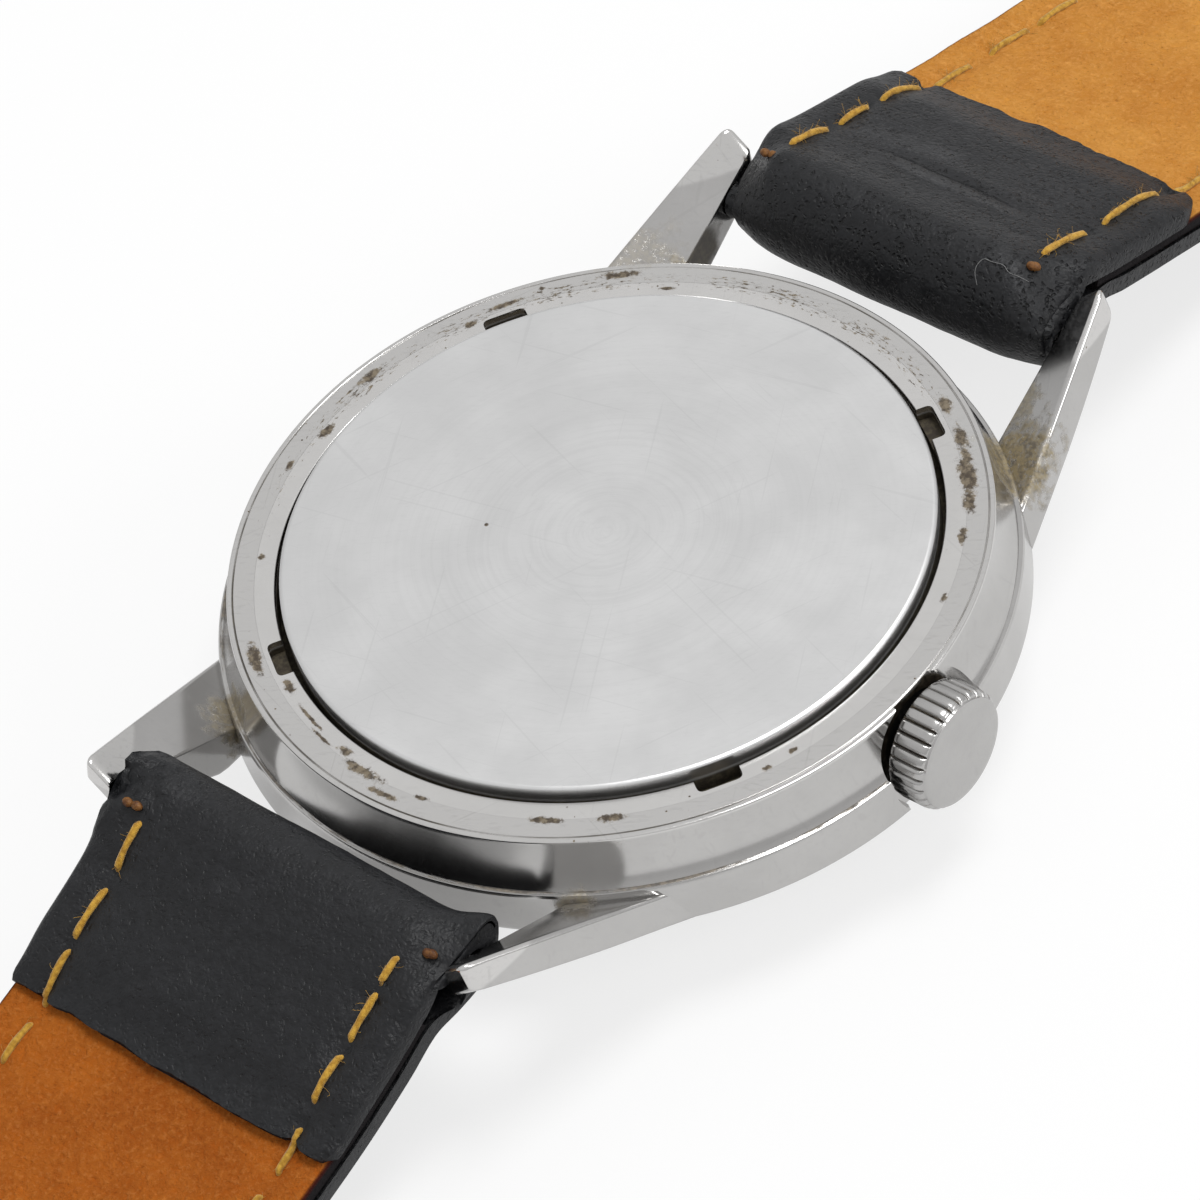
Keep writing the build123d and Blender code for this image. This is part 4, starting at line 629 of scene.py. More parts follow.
dome = Vector((11.2, 0.0)), Vector((13.2, 0.05)), Vector((13.55, 2.4))
inside = Vector((11.2, 1.5)), Vector((12.55, 1.55)), Vector((12.7, 2.75))
crystal_outline = ([(0, 0)] + bend(*dome) + [(13.55, 2.75), (14.9, 2.75), (14.9, 3.15), (12.7, 3.15)]
                   + bend(*inside)[::-1] + [(0, 1.5)])
glass = Shader("crystal_acrylic", Base_Color=(0.97, 0.985, 0.98, 1), Roughness=0.03, IOR=1.49,
               Transmission_Weight=1.0)
glass.bump(glass.hairs((15, 70, 130)), -0.003)
crystal = mesh_piece("crystal_dome", *turned(crystal_outline, 192), "case", glass.material, creases=40)
level_normals(crystal)
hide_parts("crystal")

# ---------------------------------------------------------------- strap: routes
long_route = [(22.6, 8.35), (25, 7.5), (28, 6.5), (32, 5.2), (37, 3.85), (43, 2.5), (50, 1.6), (58, 1.35),
              (95, 1.35), (133, 1.35)]
short_route = [(22.6, 7.0), (25, 6.0), (28, 5.0), (32, 4.05), (37, 3.3), (44, 3.0), (52, 3.6),
               (62, 4.25), (76, 4.25), (87, 4.25)]


def curve_through(points, step):
    """Points at even steps along a smooth curve through the given ones."""
    knots = [Vector(p) for p in points]
    knots = [2 * knots[0] - knots[1], *knots, 2 * knots[-1] - knots[-2]]
    fine = []
    for a, b, c, d in zip(knots, knots[1:], knots[2:], knots[3:]):
        gap = [max(sqrt((q - p).length), 1e-6) for p, q in ((a, b), (b, c), (c, d))]
        leave, arrive = ((q - p) / g - (r - p) / (g + h) + (r - q) / h
                         for p, q, r, g, h in ((a, b, c, *gap[:2]), (b, c, d, *gap[1:])))
        for k in range(40):
            t = k / 40
            fine.append(b * (2 * t ** 3 - 3 * t ** 2 + 1) + leave * gap[1] * (t ** 3 - 2 * t ** 2 + t)
                        + c * (3 * t ** 2 - 2 * t ** 3) + arrive * gap[1] * (t ** 3 - t ** 2))
    fine.append(knots[-2])
    run = [0.0]
    for p, q in zip(fine, fine[1:]):
        run.append(run[-1] + (q - p).length)
    count = max(2, round(run[-1] / step))
    even, k = [], 0
    for i in range(count + 1):
        goal = run[-1] * i / count
        while k < len(run) - 2 and run[k + 1] < goal:
            k += 1
        share = (goal - run[k]) / max(run[k + 1] - run[k], 1e-9)
        even.append(fine[k].lerp(fine[k + 1], min(1.0, share)))
    return even


def normals_of(path):
    """Unit normals to the left of a path in the (distance, height) plane."""
    normals = []
    for i, here in enumerate(path):
        ahead = path[min(i + 1, len(path) - 1)] - path[max(i - 1, 0)]
        normals.append(Vector((-ahead.y, ahead.x)).normalized())
    return normals


def beside(path, distance):
    """The path moved sideways."""
    return [p + n * distance for p, n in zip(path, normals_of(path))]


def clamp(value):
    return min(1.0, max(0.0, value))


def half_width(y):
    """Half of the strap's width at a distance from the middle of the watch."""
    share = clamp((y - full_width_y) / (narrow_y - full_width_y))
    return strap_half + (strap_end_half - strap_half) * share


def ease(value, low, high):
    """A smooth step from 0 to 1 while the value goes from low to high."""
    share = clamp((value - low) / (high - low))
    return share * share * (3 - 2 * share)


# ---------------------------------------------------------------- strap: leather and lining
def bell(distance, size):
    """1 at no distance, and fading over a size or two."""
    return exp(-distance * distance / (2 * size * size))


def to_line(x, y, start, end):
    """Distance from a place to a straight line between two places."""
    here, a, b = Vector((x, y)), Vector(start), Vector(end)
    t = clamp((here - a).dot(b - a) / (b - a).length_squared)
    return (here - a.lerp(b, t)).length


def rough_at(x, y, waves, seed=0.0):
    """Noise at a place, between about -1 and 1."""
    return noise.noise(Vector((x * waves, y * waves, seed)))


class Half:
    """One half of the strap, with places given as (x, distance from the case's middle, height)."""

    def __init__(self, name, side, route, flap_y, corners, loop, rows, knots, creases, pulls):
        self.name, self.body = name, f"strap_{name}"
        self.side, self.flap_y, self.corners = side, flap_y, corners
        self.loop, self.rows, self.knots, self.creases, self.pulls = loop, rows, knots, creases, pulls
        self.course = curve_through(route, course_step)
        self.end_y = route[-1][0]

    def width(self, y):
        """Half of the width, which narrows to the buckle or to the pointed tip."""
        half = half_width(y)
        if self.side > 0 and y > self.end_y - tip_length:
            share = min(1.0, (y - self.end_y + tip_length) / tip_length)
            half *= max(0.02, (1 - share * share) ** 0.62)
        return half

    def world(self, point):
        return Vector((point[0], self.side * point[1], point[2]))

    def sewn(self, x, y):
        """How far the thread pulls the face down."""
        row = self.width(y) - stitch_inset
        depth = 0.1 * bell(abs(x) - row, 0.5) * ease(y, 20.5, 21.5)
        for side, starts in self.rows:
            if side * x < 0:
                continue
            for start, end in starts:
                for hole_y in (start, end) if start - 1 < y < end + 1 else ():
                    depth += 0.13 * bell(hypot(abs(x) - row, y - hole_y), 0.24)
        return -depth

    def pulled(self, point):
        """Shift a finished point by the folds at the corners."""
        move = Vector((0, 0, 0))
        for centre, size, push, crumple in self.pulls:
            share = bell((point - Vector(centre)).length, size)
            if share > 0.003:
                move += share * Vector(push)
                if crumple:
                    fold = sum(size * noise.noise(point * waves)
                               for waves, size in ((0.9, 1.0), (2.1, 0.6), (4, 0.3)))
                    move += share * crumple * fold * Vector((0.3, 0.5, 1.0))
        pinch = ease(abs(point.x), 6.4, 8.8) * (1 - ease(point.y, 20.6, 22.6))
        move.z -= 0.45 * pinch * max(0.0, point.z - bar_z - 0.9)
        moved = point + move
        if point.y < between_lugs_y:
            moved.x = max(-between_lugs, min(between_lugs, moved.x))
        return moved


def layer_of(path, half, thickness, relief, right=True, edge=0.8, inset=0.0, trim=None,
             shift=None, lip=0.0):
    """Sections of a leather layer along a path, with rounded edges and a worked outer face.

    The lip is how far the cut sides reach down over the lining."""
    sections = []
    for row, (place, normal) in enumerate(zip(path, normals_of(path))):
        normal = -normal if right else normal
        width = half.width(place.x) - inset
        sides = trim(place, row, width) if trim else (width, width)
        thick = thickness(place, row)
        section = []
        for face in (1, -1):
            for k in range(layer_columns + 1):
                share = (2 * k / layer_columns - 1) * face
                share = 0.7 * share + 0.3 * sin(pi / 2 * share)
                width = sides[share > 0]
                x = share * width
                inward = max(0.0, (abs(x) - (width - edge)) / edge)
                level = face * thick / 2 * (1 - (1 - sqrt(max(0.0, 1 - inward ** 2))) * 0.55)
                if face == 1:
                    level += relief(x, place, row)
                elif abs(share) > 0.999:
                    level -= lip * ease(place.x, 20.7, 22.2)
                point = Vector((x, *(place + normal * level)))
                if shift:
                    point.y += shift(x, row)
                section.append(half.pulled(point))
        sections.append([half.world(p) for p in section])
    return lofted(sections)


def leather_piece(half):
    """The leather of one half: turned-back flap, loop round the spring bar and outer layer."""
    def flap_thickness(y):
        return flap_edge + (leather - flap_edge) * ease(half.flap_y - y, 0.0, 3.0)

    inner = [p for p in half.course if p.x < half.flap_y]
    over = [p + n * (lining / 2 + flap_thickness(p.x) / 2)
            for p, n in zip(inner, normals_of(half.course))][::-1]
    under = beside(half.course, -(lining + leather) / 2)
    guides = over[::5] + half.loop + under[::8] + [under[-1]]
    loop_start = sum((q - p).length for p, q in zip(over, over[1:]))
    if half.side < 0:
        radius = buckle_bar_r + leather / 2 + 0.12
        guides = guides[:-1] + [(88.3, buckle_z - radius + 0.05)]
        guides += [(buckle_y + radius * cos(radians(a)), buckle_z + radius * sin(radians(a)))
                   for a in (-90, -50, -10, 30, 70)]
        guides += [(88.6, buckle_z + radius)]
        guides += [(y, buckle_z + (lining + leather) / 2) for y in (87, 84, 81, 78.5)]
    path = curve_through(guides, row_step)
    # the part that the photo shows has four times as many rows
    near = round((loop_start + leather_seen) / row_step)
    path = path[:near] + path[near::4]
    flap_rows = round(loop_start / row_step)

    def thickness(place, row):
        if row < flap_rows:
            return flap_thickness(place.x)
        gone = (row - flap_rows) * row_step
        return leather - (leather - skived) * ease(gone, 0.0, 2.5) * (1 - ease(gone, 7.5, 11.0))

    def relief(x, place, row):
        level = 0.1 * (1 - (x / 8.8) ** 2) + 0.07 * rough_at(x, place.x + row * 0.02, 0.3)
        level -= 0.17 * ease(row, flap_rows + 30, flap_rows + 60)
        level += 0.012 * rough_at(x, place.x, 1.5, 4.0)
        level += half.sewn(x, place.x) * (1.0 if row < flap_rows or row > flap_rows + 40 else 0.3)
        if row < flap_rows + 14:
            for start, end, depth, size in half.creases:
                gap = to_line(x, place.x, start, end)
                fade = 1 - 0.7 * abs(2 * (Vector((x, place.x)) - Vector(start)).length
                                     / (Vector(end) - Vector(start)).length - 1)
                level += depth * max(0.0, fade) * (0.45 * bell(gap, 2.6 * size) - bell(gap, size))
        elif row < flap_rows + 34:
            level += 0.03 * rough_at(x * 0.35, row * row_step, 1.6, 7.0)
        return level * min(1.0, max(0.0, (half.width(place.x) - abs(x)) / 0.5) + 0.2)

    def trim(place, row, width):
        if row > flap_rows:
            narrower = 0.12 * ease(row, flap_rows, flap_rows + 10) * (1 - ease(
                row, flap_rows + 20, flap_rows + 34))
            return width - narrower, width - narrower
        sides = []
        for radius in half.corners:
            corner = max(0.0, radius - (half.flap_y - place.x))
            sides.append(width - radius + sqrt(max(0.01, radius ** 2 - corner ** 2)) - 0.03)
        return sides

    def shift(x, row):
        """The flap's cut edge wavers, and the last stitches pull it in."""
        fade = 1 - ease(row * row_step, 0.0, 1.8)
        notch = bell(abs(x) - half.width(half.flap_y) + stitch_inset, 0.22)
        waver = 0.16 * rough_at(x, half.flap_y, 0.7, 5.0) + 0.05 * rough_at(x, 0, 3.0, 6.0)
        return fade * (waver - 0.3 * notch)

    piece = mesh_piece(f"{half.body}_skin",
                       *layer_of(path, half, thickness, relief, trim=trim, shift=shift, lip=0.36),
                       half.body, strap_leather, creases=60)
    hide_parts(f"strap_{half.name}_leather")
    return piece


def lining_piece(half):
    """The tan lining, a little narrower than the leather."""
    near = round(lining_seen / course_step)
    course = half.course if half.side > 0 else [p for p in half.course if p.x < 86.8]
    path = course[:near] + course[near::4]

    def relief(x, place, row):
        level = 0.05 * rough_at(x, place.x, 0.5, 2.0) + 0.015 * rough_at(x, place.x, 3.0, 3.0)
        return level + half.sewn(x, place.x) * 1.1

    piece = mesh_piece(f"{half.body}_inside",
                       *layer_of(path, half, lambda place, row: lining, relief, right=False,
                                 edge=0.2, inset=0.1),
                       half.body, strap_lining, creases=60)
    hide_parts(f"strap_{half.name}_lining")
    return piece


def crease(s, start, end, low_z, width):
    """1 along a wavering line over the face above a height, fading towards the line's ends."""
    run = Vector((*end, 0)) - Vector((*start, 0))
    offset = s.vector("SUBTRACT", s.swayed(0.7, 0.5), (*start, 0))
    along = s.vector("DOT_PRODUCT", offset, run / run.length_squared)
    nearest = s.vector("SCALE", run, Scale=s.node("ShaderNodeClamp", {0: along}))
    across = s.vector("MULTIPLY", s.vector("SUBTRACT", offset, nearest), (1, 1, 0))
    line = s.fall(s.vector("LENGTH", across), 0.0, width)
    fade = s.band(along, -0.05, 0.25) * s.fall(along, 0.75, 1.05)
    return line * (fade * s.band(s.z, low_z, low_z + 0.2))


def black_leather():
    """Grained black leather with pits, pale dust, creases painted darker as shade, and pale ridges that are
    partly scuffs and partly painted highlight.
    """
    s = Shader("strap_leather", Metallic=0.0, Specular_IOR_Level=0.28)
    warped = s.swayed(1.3, 0.6)
    pits = s.fall(s.cells(3.6, warped), 0.12, 0.32) * s.band(s.noise(0.35, 3), 0.34, 0.56, 0.45, 1.0)
    dots = s.fall(s.cells(3.0, s.vector("ADD", warped, (3.3, 1.7, 0.0))), 0.16, 0.38)
    dots *= s.band(s.noise(0.9, 2), 0.36, 0.5)
    hollows = (pits | dots) * s.band(s.y, -5.0, 5.0, 0.3, 1.0)
    folds = crease(s, (-3.8, 24.1), (4.4, 24.0), 7.9, 0.24)
    ridges = (crease(s, (-3.2, 23.5), (5.2, 23.4), 7.9, 0.4)
              | crease(s, (-7.2, 24.6), (0.5, 25.6), 7.9, 1.1)
              | crease(s, (5.2, 20.8), (8.2, 19.4), 7.0, 0.9))
    dusted = (s.near((-4.6, 24.6, 9.0), 2.6, 0.9) | s.near((3.6, 25.6, 8.8), 2.4, 0.9)
              | s.near((6.6, 19.6, 9.6), 1.2, 0.8))
    dust = s.band(s.noise(0.45, 5, 0.7, s.stretched((0.5, 1.4, 1), 25)), 0.48, 0.8) | dusted * 0.75
    ash = s.band(s.noise(7.0, 4, 0.85), 0.46, 0.66)
    grain = s.noise(2.4, 5, 0.62)
    shade = s.blend(s.band(grain, 0.3, 0.7), (0.0064, 0.0067, 0.0078), (0.0122, 0.0127, 0.0145))
    # pale: dust, and along the ridges beside the creases partly scuffs, partly painted highlight
    shade = s.blend(dust * (ash * 0.5 + 0.03) | ridges * (ash * 0.6 + 0.12), shade, (0.075, 0.076, 0.08))
    # near black in the grain's pits, and along the creases as painted shade
    shade = s.blend((hollows | folds) * 0.8, shade, (0.0015, 0.0015, 0.002))
    shade = s.blend(s.fall(s.cells(0.9), 0.02, 0.045) * 0.35, shade, (0.16, 0.16, 0.155))
    s.set("Base Color", shade)
    s.set("Roughness", dust * 0.14 + s.band(grain, 0.2, 0.8, 0.38, 0.52))
    s.bump(s.noise(0.8, 3, 0.5), 0.15, 0.7)
    s.bump(s.noise(1.0, 4, 0.6, s.stretched((0.45, 2.6, 1.2), 4)), 0.03, 0.6)
    s.bump(folds * -1.0 + ridges * 0.3, 0.18)
    s.bump(hollows * -1.0, 0.07)
    s.bump(s.cells(5.5, warped) * -1.0, 0.03, 0.8)
    s.bump(grain, 0.05, 0.8)
    return s.material


def tan_lining():
    """Suede lining, redder on the 12 o'clock half, with flecks and dark edges."""
    s = Shader("strap_lining", Metallic=0.0, Specular_IOR_Level=0.1, Roughness=0.95)
    long_share = s.band(s.y, -5.0, 5.0)
    warm, deep, soft, pale = (s.blend(long_share, *tones) for tones in (
        ((0.48, 0.126, 0.013), (0.68, 0.30, 0.054)), ((0.35, 0.080, 0.008), (0.54, 0.205, 0.030)),
        ((0.50, 0.17, 0.03), (0.72, 0.34, 0.09)), ((0.62, 0.24, 0.06), (0.80, 0.42, 0.13))))
    mottle, grains = s.band(s.noise(2.6, 5, 0.7), 0.3, 0.7), s.noise(5.0, 4, 0.75)
    cloth = s.blend(s.band(s.noise(0.28, 5, 0.65), 0.3, 0.72), deep, warm)
    cloth = s.blend(mottle * 0.4, cloth, soft)
    cloth = s.blend(s.band(s.noise(0.9, 5, 0.7), 0.5, 0.72) * 0.4, cloth, deep)
    cloth = s.blend(s.band(grains, 0.5, 0.66, 0.0, 0.35), cloth, pale)
    worn = s.near((4.8, 33.6, 8.0), 2.2, 0.5) | s.near((-8.0, -30.0, 8.0), 1.0, 0.5)
    cloth = s.blend(s.fall(worn * -0.06 + grains, 0.31, 0.4) * 0.55, cloth, (0.20, 0.05, 0.008))
    along = s.math("ABSOLUTE", s.y)
    edge_x = s.node("ShaderNodeMapRange", {"Value": along, "From Min": full_width_y, "From Max": narrow_y,
                                           "To Min": strap_half - 0.1, "To Max": strap_end_half - 0.1})
    inside = s.math("SUBTRACT", edge_x, s.math("ABSOLUTE", s.x))
    cloth = s.blend(s.fall(inside, 0.1, 0.26), cloth, (0.05, 0.009, 0.006))
    for mask in (s.fall(inside, 0.02, 0.12), s.fall(along, 24.5, 26.0)):
        cloth = s.blend(mask, cloth, (0.016, 0.014, 0.015))
    s.set("Base Color", cloth)
    s.bump(mottle, 0.1, 0.8)
    s.bump(grains, 0.08, 0.9)
    return s.material


strap_leather, strap_lining = black_leather(), tan_lining()


def even_stitches(first, last, pitch, stitch):
    """(start, end) of the stitches of a row from one place to another."""
    count = int((last - first) / pitch)
    return [(first + k * pitch, first + k * pitch + stitch) for k in range(count)]


long_half = Half(
    "6", 1, long_route, 30.6, (0.35, 2.2),
    [(22.1, 9.55), (21.2, 10.08), (20.35, 10.36), (19.5, 10.12), (18.85, 9.3), (18.5, 8.2), (18.5, 7.2),
     (19.0, 6.42), (19.9, 6.28), (21.1, 6.72)],
    [(-1, [(21.5, 23.9), (24.7, 26.6), (27.5, 30.1), (30.9, 33.6)] + even_stitches(34.9, 122, 3.4, 2.75)),
     (1, [(21.5, 24.4), (25.5, 29.4), (30.3, 33.4)] + even_stitches(34.3, 122, 3.4, 2.75))],
    [(-7.35, 20.5), (7.12, 20.46)],
    [((-3.0, 23.95), (4.3, 23.7), 0.14, 0.2), ((-7.2, 20.4), (-7.6, 18.3), 0.25, 0.22),
     ((2.0, 25.4), (6.0, 24.6), 0.05, 0.3)],
    [((8.9, 19.8, 9.9), 1.1, (-0.2, 0.1, -0.55), 0.25), ((-8.9, 19.4, 9.4), 1.3, (0.25, 0.2, -0.75), 0.35),
     ((-8.8, 18.6, 7.2), 1.1, (0.3, 0.45, 0.1), 0.0), ((8.8, 18.6, 7.2), 1.1, (-0.2, 0.45, 0.1), 0.0)])
short_half = Half(
    "12", -1, short_route, 29.0, (0.3, 0.5),
    [(22.0, 8.3), (21.2, 8.72), (20.3, 8.98), (19.35, 8.86), (18.65, 8.25), (18.4, 7.4), (18.7, 6.55),
     (19.5, 6.28), (20.8, 6.2)],
    [(-1, [(21.85, 23.7), (24.45, 26.7), (27.1, 29.15), (30.0, 31.9)] + even_stitches(32.7, 84, 2.7, 2.1)),
     (1, [(21.55, 22.6), (23.0, 24.9), (25.5, 27.45), (28.4, 30.15), (31.2, 33.0)]
      + even_stitches(33.9, 84, 2.7, 2.1))],
    [(-7.5, 21.6), (7.9, 20.8)],
    [((-5.0, 21.3), (1.5, 22.2), 0.07, 0.4), ((-7.6, 21.0), (-6.6, 18.6), 0.2, 0.3)],
    [((-8.9, 20.0, 8.8), 1.4, (-0.55, 0.0, 0.75), 0.75), ((9.0, 18.9, 8.6), 1.0, (0.35, -0.75, 0.65), 0.0),
     ((8.6, 20.4, 8.8), 0.9, (0.0, 0.2, -0.35), 0.2)])
halves = (long_half, short_half)
skins, insides = {}, {}
for half in halves:
    skins[half.name], insides[half.name] = leather_piece(half), lining_piece(half)


def loop_ends(half):
    """The pinched ends of the loop, which close round the spring bar."""
    outline = [p for p in curve_through(half.loop, 0.3) if p.x < 21.9]
    centre = Vector((bar_y, bar_z))
    parts = []
    for side in (-1, 1):
        rings = []
        for x, inset in ((7.6, 0.3), (8.45, 0.1), (8.72, 0.05), (8.86, 0.16), (8.93, 0.4)):
            outer = [p + (centre - p).normalized() * inset for p in outline]
            bore = [centre + (p - centre).normalized() * bar_hole_r for p in reversed(outer)]
            rings.append([half.world(half.pulled(Vector((side * x, *p))))
                          if (p - centre).length > bar_hole_r + 0.01 else half.world((side * x, *p))
                          for p in outer + bore])
        parts.append(lofted(rings))
    piece = mesh_piece(f"{half.body}_loop_ends", *joined(parts), half.body, strap_leather,
                       creases=50)


for half in halves:
    loop_ends(half)

# the holes of the long half, and the slot for the tang in the short one
punch, punch_faces = turned([(0, -0.5), (hole_r, -0.5), (hole_r, 4), (0, 4)], 32)
punches = joined(([(x, y + hole_y, z) for x, y, z in punch], punch_faces) for hole_y in hole_ys)
for piece in (skins["6"], insides["6"]):
    cut(piece, *punches)
cut(skins["12"], *lofted([[(x, y, z) for x, y in ((-1, -86.9), (1, -86.9), (1, -93), (-1, -93))]
                          for z in (-1, 9)]))

# ---------------------------------------------------------------- strap: thread
def mottled(name, waves, dark, light, grain=None, gloss=None, soft=0.2, **constants):
    """A finish of cloudy colour, with a grain of some depth and a cloudy gloss if they are given.

    Waves and the first part of grain and gloss are the settings of their noise."""
    s = Shader(name, **constants)
    s.set("Base Color", s.blend(s.band(s.noise(*waves), 0.5 - soft, 0.5 + soft), dark, light))
    if gloss:
        s.set("Roughness", s.band(s.noise(*gloss[0]), 0.2, 0.8, *gloss[1:]))
    if grain:
        s.bump(s.noise(*grain[0]), grain[1])
    return s.material


thread = mottled("strap_thread", (5.0,), (0.36, 0.18, 0.014), (0.60, 0.345, 0.042), ((16.0, 2), 0.03),
                 Metallic=0.0, Roughness=0.72, Specular_IOR_Level=0.25, Sheen_Weight=0.3)
wax = mottled("strap_knot", (3.0,), (0.075, 0.024, 0.006), (0.2, 0.085, 0.02), ((4.0,), 0.08), soft=0.15,
              Metallic=0.0, Roughness=0.5, Specular_IOR_Level=0.3)
fluff = mottled("strap_lint", (4.0,), grey(0.12), grey(0.24), Metallic=0.0, Roughness=0.8)


def faces_of(pieces):
    """A search tree over the faces of several pieces, in millimetres."""
    points, faces = joined(([tuple(v.co / MM) for v in p.data.vertices],
                            [tuple(f.vertices) for f in p.data.polygons]) for p in pieces)
    return BVHTree.FromPolygons(points, faces)


def tube(path, radius_at, sides=10, across=Vector((0, 0, 1)), closed=False):
    """Points and faces of a tube along a path, with its radius given for each point and angle."""
    sections = []
    for i, here in enumerate(path):
        ahead = path[(i + 1) % len(path)] - path[i - 1] if closed else (
            path[min(i + 1, len(path) - 1)] - path[max(i - 1, 0)])
        ahead = ahead.normalized()
        first = across - ahead * across.dot(ahead)
        first = first.normalized() if first.length > 1e-4 else ahead.orthogonal().normalized()
        second = ahead.cross(first)
        ring = []
        for k in range(sides):
            angle = 2 * pi * k / sides
            radius = radius_at(i, angle)
            ring.append(tuple(here + (first * cos(angle) + second * sin(angle)) * radius))
        sections.append(ring)
    if closed:
        points, faces = lofted(sections + sections[:1])
        return points, faces[:-2]
    return lofted(sections)


def boxy(first, second, power=5):
    """The radius of a rounded rectangle with two half sizes, for use with a tube."""
    def radius_at(i, angle):
        return ((abs(cos(angle)) / first) ** power + (abs(sin(angle)) / second) ** power) ** (-1 / power)
    return radius_at


def stitch(tree, half, x, start, end, face):
    """A twisted stitch that lies on the leather, with its frayed fibres."""
    hits, normals, count = [], [], 20
    for k in range(count + 1):
        t = k / count
        y = start + (end - start) * t
        row = x * (half.width(y) - stitch_inset)
        origin = half.world((row, y, 5 + face * 15))
        hit, normal, *_ = tree.ray_cast(origin, Vector((0, 0, -face)))
        if hit is None:
            return [], []
        hits.append(hit)
        normals.append(normal if normal.z * face > 0 else -normal)
    for _ in range(12):
        hits[1:-1] = [(a + 2 * b + c) / 4 for a, b, c in zip(hits, hits[1:], hits[2:])]
    proud = 0.08 if face > 0 else 0.0
    path = [hit + normal * (proud - 0.3 + 0.3 * min(1.0, sin(pi * k / count) * 4.0))
            for k, (hit, normal) in enumerate(zip(hits, normals))]
    length = (path[-1] - path[0]).length
    turn = random.uniform(0, 6)

    def radius_at(i, angle):
        wave = cos(2 * angle + turn + 2 * pi * length * i / count / 1.6)
        return stitch_r * (1 + 0.1 * wave)

    body = tube(path, radius_at)
    fibres = []
    if face > 0 and start < 36:
        for _ in range(30 if half.side > 0 else 8):
            k = random.randrange(1, count)
            root = path[k]
            reach = Vector((random.uniform(-1, 1), random.uniform(-1, 1), random.uniform(-0.1, 0.7)))
            reach = reach.normalized() * random.uniform(0.2, 0.5)
            curl = Vector((random.uniform(-1, 1), random.uniform(-1, 1), random.uniform(-0.3, 0.5))) * 0.2
            line = [root + reach * sin(2.2 * t) + curl * (1 - cos(3 * t)) for t in (0, 0.25, 0.5, 0.75, 1)]
            fibres.append(tube(line, lambda i, angle: 0.011 * (1 - 0.12 * i), 3))
    return joined([body, *fibres])


for half in halves:
    tree = faces_of((skins[half.name], insides[half.name]))
    threads = [stitch(tree, half, x, start, end, face) for face in (1, -1)
               for x, starts in half.rows for start, end in starts]
    sewing = mesh_piece(f"{half.body}_stitches", *joined(threads), half.body, thread)
    knots = []
    for x, y in half.knots:
        hit, normal, *_ = tree.ray_cast(half.world((x, y, 20)), Vector((0, 0, -1)))
        for k in range(2):
            offset_x = random.uniform(0.02, 0.1) + (0.22 if x < 0 else 0.06) * (2 * k - 1)
            offset = Vector((offset_x, 0.05 * k, 0))
            path = [hit + offset + Vector((0.2 * cos(pi * t), 0.04 * t, 0.05 + 0.1 * sin(pi * t)))
                    for t in (k / 8 for k in range(9))]
            knots.append(tube(path, lambda i, angle: 0.2 * sqrt(max(0.1, sin(pi * i / 8))), 12))
    if half.side > 0:
        curl = (5.35, 18.8), (4.95, 19.2), (5.1, 19.75), (5.55, 19.7), (6.1, 19.85), (6.5, 19.6), (6.9, 19.75)
        hair = [tree.ray_cast(Vector((x, y, 20)), Vector((0, 0, -1)))[0] + Vector((0, 0, 0.04))
                for x, y in (*curl, (7.3, 19.9))]
        for _ in range(3):
            hair = [hair[0], *(a.lerp(b, t) for a, b in zip(hair, hair[1:]) for t in (0.25, 0.75)), hair[-1]]
        lint = mesh_piece("strap_6_lint", *tube(hair, lambda i, angle: 0.016, 5), "strap_6", fluff)
    knot = mesh_piece(f"{half.body}_knots", *joined(knots), half.body, wax)

# ---------------------------------------------------------------- buckle and keepers
def clean_steel(name, tone, roughness):
    """Polished steel with fine hairlines and no dirt."""
    return steel(name, tone, roughness, cloudy=0.015, hair=0.4)


buckle_steel = clean_steel("buckle_steel", 0.62, 0.12)
frame_low, frame_high = (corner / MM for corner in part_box("buckle"))
tang_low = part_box("tang")[0] / MM
frame_bar = (frame_high.z - frame_low.z) / 2
side_x, far_y = frame_high.x - frame_bar, frame_low.y + frame_bar
corners = [(side_x, frame_high.y, 0), (side_x, far_y, 2.4), (-side_x, far_y, 2.4), (-side_x, frame_high.y, 0)]
path = [Vector((x, y, buckle_z)) for x, y in rounded(corners, 10)]
path[1:1] = [path[0].lerp(path[1], t) for t in (0.02, 0.06, 0.3, 0.6)]
path[-1:-1] = [path[-1].lerp(path[-2], t) for t in (0.6, 0.3, 0.06, 0.02)]


def frame_radius(i, angle):
    """The buckle's section, with rounded ends."""
    end = min(i, len(path) - 1 - i)
    return boxy(frame_bar, frame_bar - 0.03)(i, angle) * (0.82, 0.95, 1.0)[min(end, 2)]


buckle = mesh_piece("buckle_frame", *tube(path, frame_radius, 40), "buckle", buckle_steel, creases=50)
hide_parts("buckle")

ring_mid_r, blade_half = 1.06, 0.42
blade_z = tang_low.z + 0.46
path = [Vector((0, -buckle_y - ring_mid_r * sin(radians(a)), buckle_z + ring_mid_r * cos(radians(a))))
        for a in range(150, -136, -15)]
path += [Vector((0, y, blade_z)) for y in (-92, -94, -96, -98, -99.6)]
path += [Vector((0, tang_low.y + 0.35, blade_z + 0.04)), Vector((0, tang_low.y + 0.02, blade_z + 0.06))]


def tang_radius(i, angle):
    thin = 0.3 + (blade_half - 0.3) * ease(i, 18, 21)
    tip = (0.45, 0.85, 1.0)[min(len(path) - 1 - i, 2)]
    return boxy(0.74, thin, 4)(i, angle) * tip


tang = mesh_piece("buckle_tang", *tube(path, tang_radius, 28, Vector((1, 0, 0))), "tang", buckle_steel,
                  creases=50)
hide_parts("tang")


